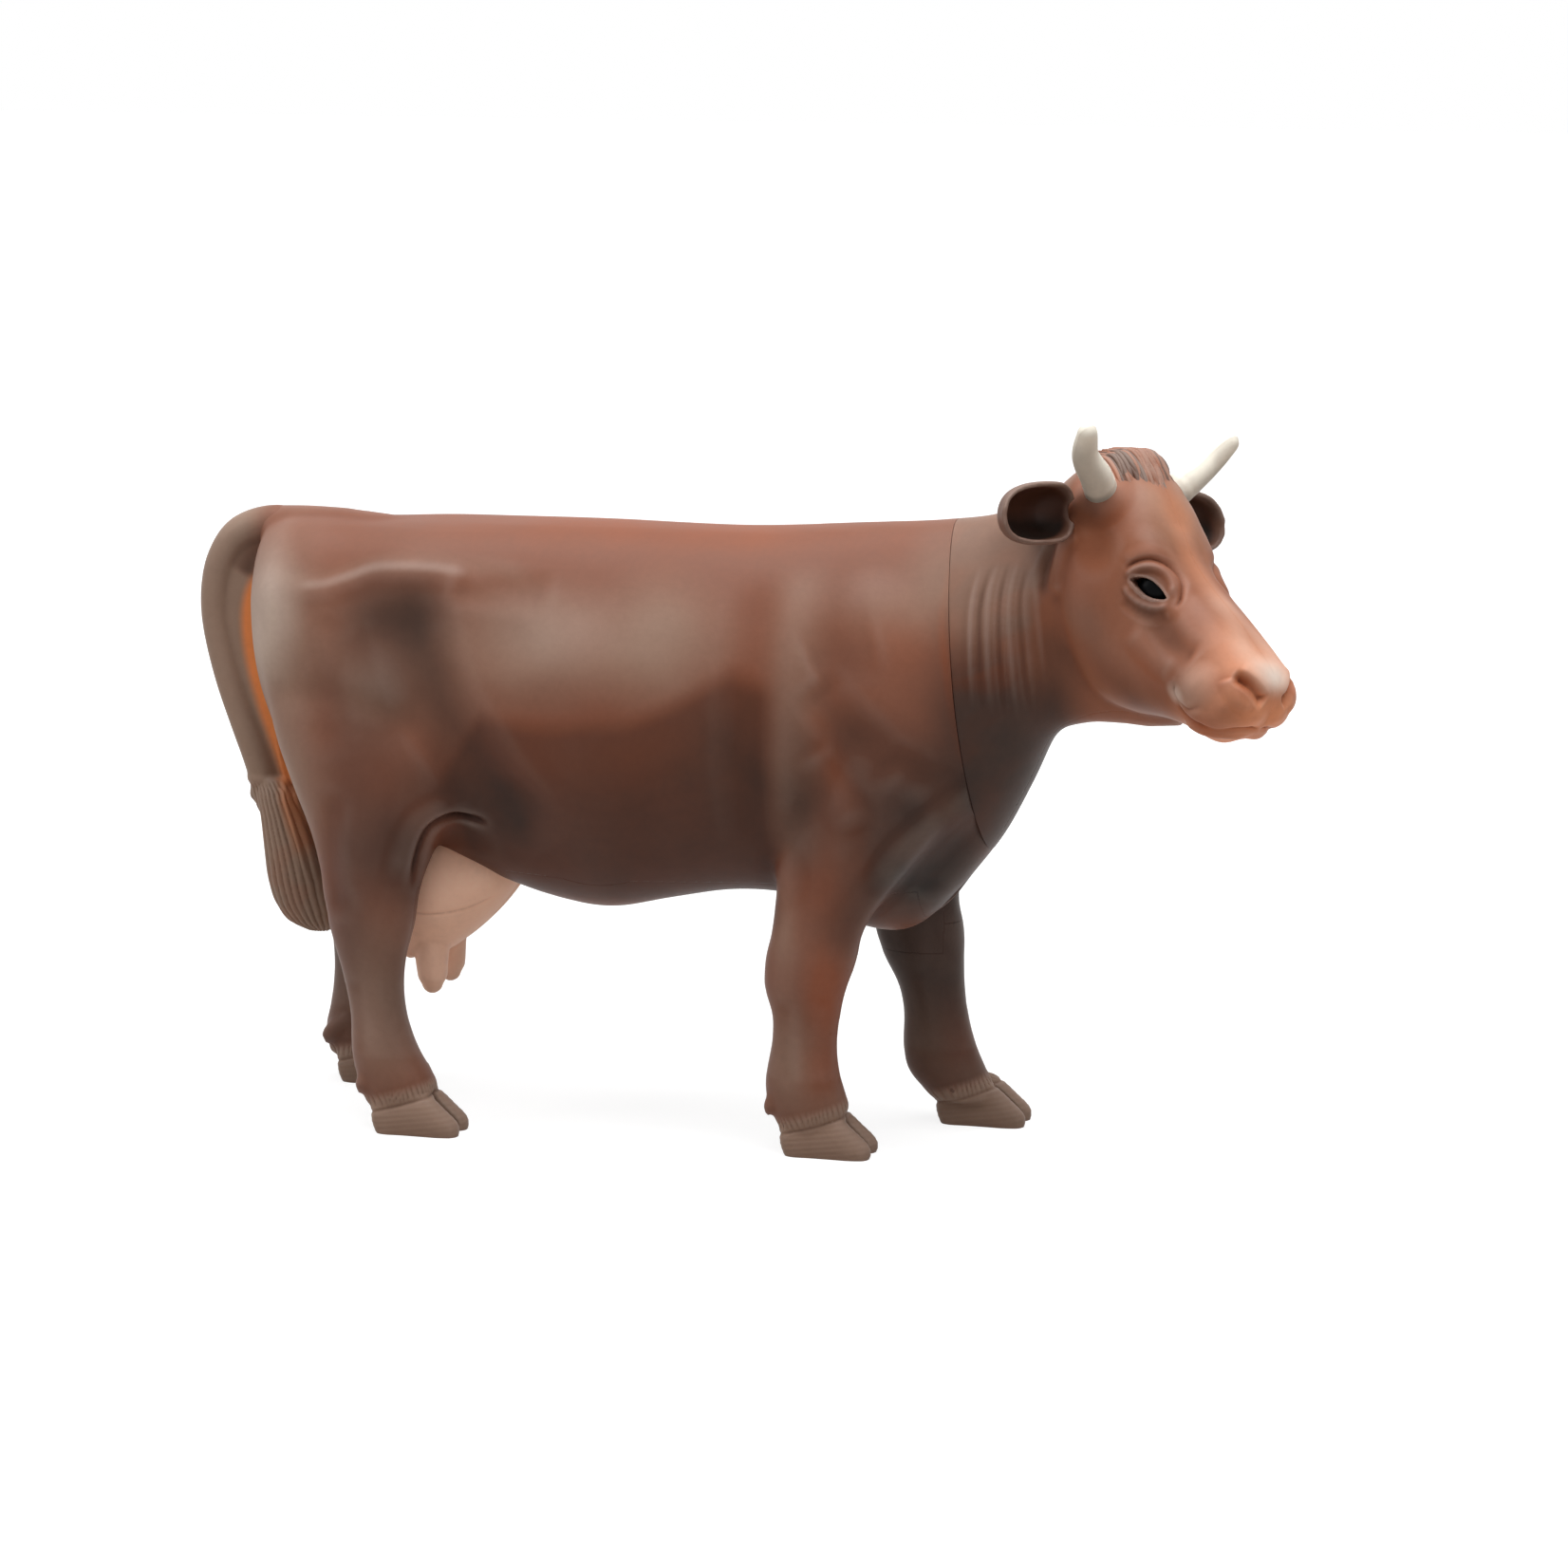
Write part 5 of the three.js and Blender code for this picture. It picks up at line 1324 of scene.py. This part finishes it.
def eye_ball(side):
    """A ball that bulges a little where it looks out."""
    radius = mm("eye_radius") * EYE_FULL
    mirror = np.array([1, -side, 1])
    centre = from_head((EYE_PLACE - EYE_OUT * (EYE_BACK + radius)) * mirror)
    eye = ball("eye_ball", centre, (radius,) * 3, 48)
    here = points(eye) - centre
    front = (here @ (HEAD_TURN @ (EYE_OUT * mirror))) / radius
    here *= (1 + 0.035 * soft((front - 0.6) / 0.4))[:, None]
    set_points(eye, here + centre)
    return eye


# locks in the row, rear end, front end, rise, half thickness
TUFT_ROWS = [(25, -8.9, 4.9, 2.2, 0.54), (23, -8.3, 3.7, 2.7, 0.5), (19, -7.6, 1.6, 3.0, 0.48)]


def tuft_clay():
    """Locks of hair over the poll, falling forward between the horns."""
    rng = np.random.default_rng(7)
    cap = ball("tuft_cap", (-2.0, 0, 9.1), (6.2, 7.0, 1.9), 40)
    # the cap under the locks gets painted shade
    keep(cap, "fold", np.full(len(cap.data.vertices), 1.0))
    keep(cap, "umber", np.full(len(cap.data.vertices), 0.4))
    shapes = [cap]
    for row, (count, start, finish, rise, thick) in enumerate(TUFT_ROWS):
        for k in range(count):
            # v: the lock's place across the poll; s: the share along the lock; a: its place forward
            v = (k - (count - 1) / 2) * (14.6 - 1.4 * row) / (count - 1) + rng.uniform(-0.15, 0.15)
            drop = 0.056 * v * v
            lean = rng.uniform(-0.5, 0.5) + 0.06 * v
            end = finish + rng.uniform(-0.5, 0.4) - 0.055 * (v + 1.8) ** 2
            places = []
            for s in (0, 0.2, 0.42, 0.65, 0.85, 1.0):
                a = start + (end - start) * s
                rear = 1.5 * max(0, 1 - s / 0.2)
                top = 9.2 + rise * math.sin(math.pi * min(1, 0.18 + 0.72 * s)) - drop - rear
                floor = np.interp(a, [-8, -2, 4, 8], [8.8, 11.0, 10.8, 9.2]) - drop - rear
                places.append((a, v * (1.02 - 0.06 * s) + lean * s * s + 0.2 * math.sin(5 * s + k), max(top, floor)))
            path = path_of(places, 3)
            radii = tapered(path, [0, 0.3, 0.7, 0.9, 1], [0.5, 1, 0.95, 0.55, 0.15]) * thick * rng.uniform(0.8, 1.15)
            lock = round_tube("lock", path, radii, 12, flat=0.9)
            here = points(lock)
            _, along = reach(here, path)
            middle_up = np.interp(along, np.linspace(0, 1, len(path)), path[:, 2])
            # each lock darker underneath and lighter on top: painted shade and painted highlight
            keep(lock, "fold", np.clip(0.5 - 1.5 * (here[:, 2] - middle_up) / thick, -1, 1))
            keep(lock, "umber", np.full(len(here), rng.choice([0.0, 0.1, 0.7])))
            shapes.append(lock)
    for shape in shapes:
        set_points(shape, from_head(points(shape)))
    clay = joined(shapes, "tuft_clay")
    here = to_head(points(clay))
    between = soft((ripple(here * np.array([0.25, 1, 0.4]), 2.4, 41) - 0.1) / 0.8)
    # painted shade low on the poll under the locks
    keep(clay, "umber", np.clip(kept(clay, "umber") + 0.2 * soft((8.5 - here[:, 2]) / 3), 0, 1))
    keep(clay, "rust", 0.3 * soft(ripple(here, 4, 42)))
    # painted highlights on the locks and towards the front
    keep(clay, "frost", 0.10 * (1 - between) + 0.12 * soft((here[:, 0] - 1) / 3))
    return clay


# ---------------------------------------------------------------- what the panel offers

class PieceOperator(bpy.types.Operator):
    """One step in making the cow"""
    bl_options = {"REGISTER", "UNDO"}

    def execute(self, context):
        self.make()
        return {"FINISHED"}


class TOYCOW_OT_stage(PieceOperator):
    """A pale floor, a white surround, soft studio lamps and the camera"""
    bl_idname = "toy_cow.stage"
    bl_label = "Stage, lamps and camera"

    def make(self):
        bpy.ops.mesh.primitive_plane_add(size=6.0, location=(0, 0, 0))
        floor = fresh("studio_floor")
        floor.data.materials.append(floor_finish())
        surround()
        lamp("overhead_softbox", (0.05, -0.10, 0.95), (0.0, 0.0, 0.05), 0.9, 12.4)
        lamp("front_softbox", (0.75, -0.55, 0.62), (0.02, 0.0, 0.07), 0.5, 1.05)
        lamp("rear_softbox", (-0.80, -0.35, 0.55), (-0.05, 0.0, 0.06), 0.45, 2.0)
        aim_camera()


class TOYCOW_OT_hide(PieceOperator):
    """Trunk and legs, carved and parted into flanks, belly and inner legs"""
    bl_idname = "toy_cow.hide"
    bl_label = "Hide"

    def make(self):
        clay = hide_clay()
        carve_hide(clay)
        note_folds(clay, 14, 0.16)
        sliced(clay, (0, 0, 0), (0, 0, -1))
        sliced(clay, SEAM_POINT - SEAM_NORMAL * SEAM_GAP / 2, SEAM_NORMAL)
        belly = parted(clay, BELLY_LOW, BELLY_HIGH, "belly_skin")
        parts = [(belly, "belly_pan", (0, 0, BELLY_HIGH[2]), (0, 0, 1))]
        for leg in LEGS:
            plane = parting_of(leg)
            front = heel_of(leg) + mm("claw_length") + 0.8
            low = (front - 30, min(plane, 0), -5)
            high = (front, max(plane, 0), leg.inner_top * mm("withers_height"))
            inner = parted(clay, low, high, f"inner_hide_{leg.name}")
            parts.append((inner, f"inner_leg_{leg.name}", (0, plane, 0), (0, 1, 0)))
        left = copied(clay, "flank_left")
        sliced(left, (0, 0, 0), (0, -1, 0))
        sliced(clay, (0, 0, 0), (0, 1, 0))
        named(clay, "flank_right")
        parts += [(clay, "body_shell_right", (0, 0, 0), (0, 1, 0)), (left, "body_shell_left", (0, 0, 0), (0, 1, 0))]
        shell_sides = {"body_shell_right": -1, "body_shell_left": 1}
        finish = sprayed_material("airbrushed_hide", tints().hide, tints().hoof)
        for piece, node_name, place, direction in parts:
            apply_modifier(piece, "TRIANGULATE", min_vertices=5)
            for leg in LEGS:
                if leg.side == shell_sides.get(node_name):
                    parting_groove(piece, (0, parting_of(leg), 0), (0, 1, 0), LEG_LINE, 0, below=43)
            parting_groove(piece, place, direction, HIDE_LINE, 0)
            spray_hide(piece)
            set_down(piece, "body", finish, "hide" if node_name in shell_sides else "belly", node_name)


class TOYCOW_OT_udder(PieceOperator):
    """The pink udder with its four teats"""
    bl_idname = "toy_cow.udder"
    bl_label = "Udder"

    def make(self):
        clay = udder_clay()
        note_folds(clay, 10, 0.12)
        named(clay, "udder_skin")
        here = points(clay)
        keep(clay, "umber", 0.05 * soft((-54 - here[:, 0]) / 8) * soft((here[:, 2] - 30) / 8))
        keep(clay, "rust", 0.14 * soft((here[:, 2] - 42) / 6) + 0.06 * soft((24 - here[:, 2]) / 4))
        set_down(clay, "body", sprayed_material("udder_pink", tints().udder, tints().muzzle), "udder", "udder")


class TOYCOW_OT_tail(PieceOperator):
    """The tail with its web and brushed switch"""
    bl_idname = "toy_cow.tail"
    bl_label = "Tail"

    def make(self):
        clay = tail_clay()
        note_folds(clay, 8, 0.24)
        spray_tail(clay)
        named(clay, "tail_and_switch")
        finish = sprayed_material("tail_brown", tints().tail, tints().tan, neck_base=tints().hide)
        set_down(clay, "body", finish, "hide", "tail")


class TOYCOW_OT_head(PieceOperator):
    """Face and neck, carved and parted down the middle"""
    bl_idname = "toy_cow.head"
    bl_label = "Head and neck"

    def make(self):
        clay = face_clay()
        carve_face(clay)
        note_folds(clay, 12, 0.09)
        sliced(clay, SEAM_POINT + SEAM_NORMAL * SEAM_GAP / 2, -SEAM_NORMAL)
        middle = from_head([0, 0, 0])
        across = HEAD_TURN[:, 1]
        left = copied(clay, "face_left")
        sliced(left, middle, -across)
        sliced(clay, middle, across)
        named(clay, "face_right")
        finish = sprayed_material("airbrushed_face", tints().fawn, tints().muzzle, neck_base=tints().hide)
        for piece, node_name in ((clay, "head_shell_right"), (left, "head_shell_left")):
            apply_modifier(piece, "TRIANGULATE", min_vertices=5)
            parting_groove(piece, middle, across, FACE_LINE, 0.1)
            spray_face(piece)
            set_down(piece, "head", finish, "face", node_name)


class TOYCOW_OT_horns(PieceOperator):
    """Two ivory horns with their mould lines"""
    bl_idname = "toy_cow.horns"
    bl_label = "Horns"

    def make(self):
        finish = sprayed_material("horn_ivory", tints().horn, tints().horn)
        for side, name in SIDES:
            horn = named(horn_tube(side), f"ivory_horn_{name}")
            set_down(horn, "head", finish, "horn", f"horn_{name}")


class TOYCOW_OT_ears(PieceOperator):
    """Two cupped ears"""
    bl_idname = "toy_cow.ears"
    bl_label = "Ears"

    def make(self):
        finish = sprayed_material("ear_brown", tints().hide, tints().fawn)
        for side, name in SIDES:
            ear = named(ear_clay(side), f"cupped_ear_{name}")
            set_down(ear, "head", finish, "hide", f"ear_{name}")


class TOYCOW_OT_eyes(PieceOperator):
    """Two glossy black eyes, set behind the lids"""
    bl_idname = "toy_cow.eyes"
    bl_label = "Eyes"

    def make(self):
        finish = eye_finish()
        for side, name in SIDES:
            eye = named(eye_ball(side), f"glossy_eye_{name}")
            set_down(eye, "head", finish, "eye", f"eye_{name}")


class TOYCOW_OT_tuft(PieceOperator):
    """Locks of hair between the horns"""
    bl_idname = "toy_cow.tuft"
    bl_label = "Hair tuft"

    def make(self):
        clay = named(tuft_clay(), "hair_locks")
        set_down(clay, "head", sprayed_material("tuft_brown", tints().fawn, tints().fawn), "face", "poll_tuft")


class TOYCOW_OT_collar(PieceOperator):
    """The finish of the collar inside the neck seam"""
    bl_idname = "toy_cow.collar"
    bl_label = "Neck collar"

    def make(self):
        collar = frame["nodes"]["neck_swivel"]
        collar.material_slots[0].link = "OBJECT"
        collar.material_slots[0].material = sprayed_material("collar_plastic", tints().collar, tints().collar)


# ---------------------------------------------------------------- eye, stage, lamps, camera

def eye_finish():
    material, tree, shader, place = new_material("eye_gloss")
    swirl = noise(tree, place, 500.0, 2.0)
    dark = mixed(tree, swirl, tuple(tints().eye), tuple(0.4 * c for c in tints().eye[:3]) + (1,))
    tree.links.new(dark, shader.inputs["Base Color"])
    tree.links.new(sums(tree, "MULTIPLY_ADD", swirl, 0.06, 0.28), shader.inputs["Roughness"])
    shader.inputs["Specular IOR Level"].default_value = EYE_SHINE
    return material


def seen_by_camera(tree):
    """1 on rays that the camera looks along, also by a mirror or through glass, and 0 on bounced light."""
    path = tree.nodes.new("ShaderNodeLightPath").outputs
    seen = sums(tree, "ADD", path["Is Camera Ray"], path["Is Glossy Ray"], clamp=True)
    return sums(tree, "ADD", seen, path["Is Transmission Ray"], clamp=True)


def floor_finish():
    """Pale floor: bright to the camera with the figure's shadow kept, and a modest bounce on the figure."""
    material, tree, shader, place = new_material("studio_floor_pale")
    shader.inputs["Roughness"].default_value = 0.9
    shader.inputs["Specular IOR Level"].default_value = FLOOR_SHINE
    seen = seen_by_camera(tree)
    tree.links.new(mixed(tree, seen, (0.50, 0.43, 0.38, 1), (0.30, 0.30, 0.30, 1)), shader.inputs["Base Color"])
    shader.inputs["Emission Color"].default_value = (1, 1, 1, 1)
    away = node(tree, "ShaderNodeVectorMath", {0: place}, operation="LENGTH").outputs["Value"]
    glow = sums(tree, "MULTIPLY_ADD", sums(tree, "SUBTRACT", away, 0.12, clamp=True), 0.5, 0.84)
    tree.links.new(sums(tree, "MULTIPLY", seen, sums(tree, "MINIMUM", glow, 1.0)), shader.inputs["Emission Strength"])
    return material


def surround():
    world = bpy.data.worlds.new("white_surround")
    bpy.context.scene.world = world
    world.use_nodes = True
    tree = world.node_tree
    tree.nodes.clear()
    seen = seen_by_camera(tree)
    dim = node(tree, "ShaderNodeBackground", {"Color": (1, 1, 1, 1), "Strength": 0.10})
    white = node(tree, "ShaderNodeBackground", {"Color": (1, 1, 1, 1), "Strength": 1.0})
    choice = node(tree, "ShaderNodeMixShader", {0: seen, 1: dim.outputs[0], 2: white.outputs[0]})
    out = tree.nodes.new("ShaderNodeOutputWorld")
    tree.links.new(choice.outputs[0], out.inputs["Surface"])


def lamp(name, place, aim, size, watts):
    light = bpy.data.lights.new(name, "AREA")
    light.energy, light.size = watts, size
    obj = bpy.data.objects.new(name, light)
    obj.location = place
    obj.rotation_euler = (Vector(aim) - Vector(place)).to_track_quat("-Z", "Y").to_euler()
    bpy.context.scene.collection.objects.link(obj)


def aim_camera():
    """The photograph's view: 1652 pixels across, 6.3 of them to a millimetre at the target, 800 mm away."""
    azimuth, elevation, distance = math.radians(15), math.radians(11), 0.8
    target = Vector((np.array([8.4, 0, 59.7]) + SHIFT) * MM)
    level = math.cos(elevation)
    back = Vector((math.sin(azimuth) * level, -math.cos(azimuth) * level, math.sin(elevation)))
    data = bpy.data.cameras.new("photo_camera")
    data.sensor_width, data.lens = 36.0, 36.0 * 6.3 * 800 / 1652
    data.clip_start, data.clip_end = 0.01, 20
    camera = bpy.data.objects.new("photo_camera", data)
    camera.location = target + back * distance
    camera.rotation_euler = (-back).to_track_quat("-Z", "Y").to_euler()
    bpy.context.scene.collection.objects.link(camera)
    bpy.context.scene.camera = camera
    bpy.context.scene.view_settings.view_transform = "Standard"


class TOYCOW_PT_pieces(bpy.types.Panel):
    """The cow's sizes, colours and making steps"""
    bl_idname = "TOYCOW_PT_pieces"
    bl_label = "Toy Cow"
    bl_space_type = "VIEW_3D"
    bl_region_type = "UI"
    bl_category = "Toy Cow"

    def draw(self, context):
        for group in (context.scene.toy_cow_sizes, context.scene.toy_cow_colours):
            for name in group.__annotations__:
                self.layout.prop(group, name)
        for step in STEPS:
            self.layout.operator(step.bl_idname)


STEPS = (TOYCOW_OT_stage, TOYCOW_OT_hide, TOYCOW_OT_udder, TOYCOW_OT_tail, TOYCOW_OT_head, TOYCOW_OT_horns,
         TOYCOW_OT_ears, TOYCOW_OT_eyes, TOYCOW_OT_tuft, TOYCOW_OT_collar)
CLASSES = (ToyCowSizes, ToyCowColours, *STEPS, TOYCOW_PT_pieces)


def register():
    for kind in CLASSES:
        bpy.utils.register_class(kind)
    bpy.types.Scene.toy_cow_sizes = PointerProperty(type=ToyCowSizes)
    bpy.types.Scene.toy_cow_colours = PointerProperty(type=ToyCowColours)


def unregister():
    del bpy.types.Scene.toy_cow_colours
    del bpy.types.Scene.toy_cow_sizes
    for kind in reversed(CLASSES):
        bpy.utils.unregister_class(kind)


def main():
    register()
    bpy.ops.toy_cow.stage()
    bpy.ops.toy_cow.hide()
    bpy.ops.toy_cow.udder()
    bpy.ops.toy_cow.tail()
    bpy.ops.toy_cow.head()
    bpy.ops.toy_cow.horns()
    bpy.ops.toy_cow.ears()
    bpy.ops.toy_cow.eyes()
    bpy.ops.toy_cow.tuft()
    bpy.ops.toy_cow.collar()


if __name__ == "__main__":
    main()
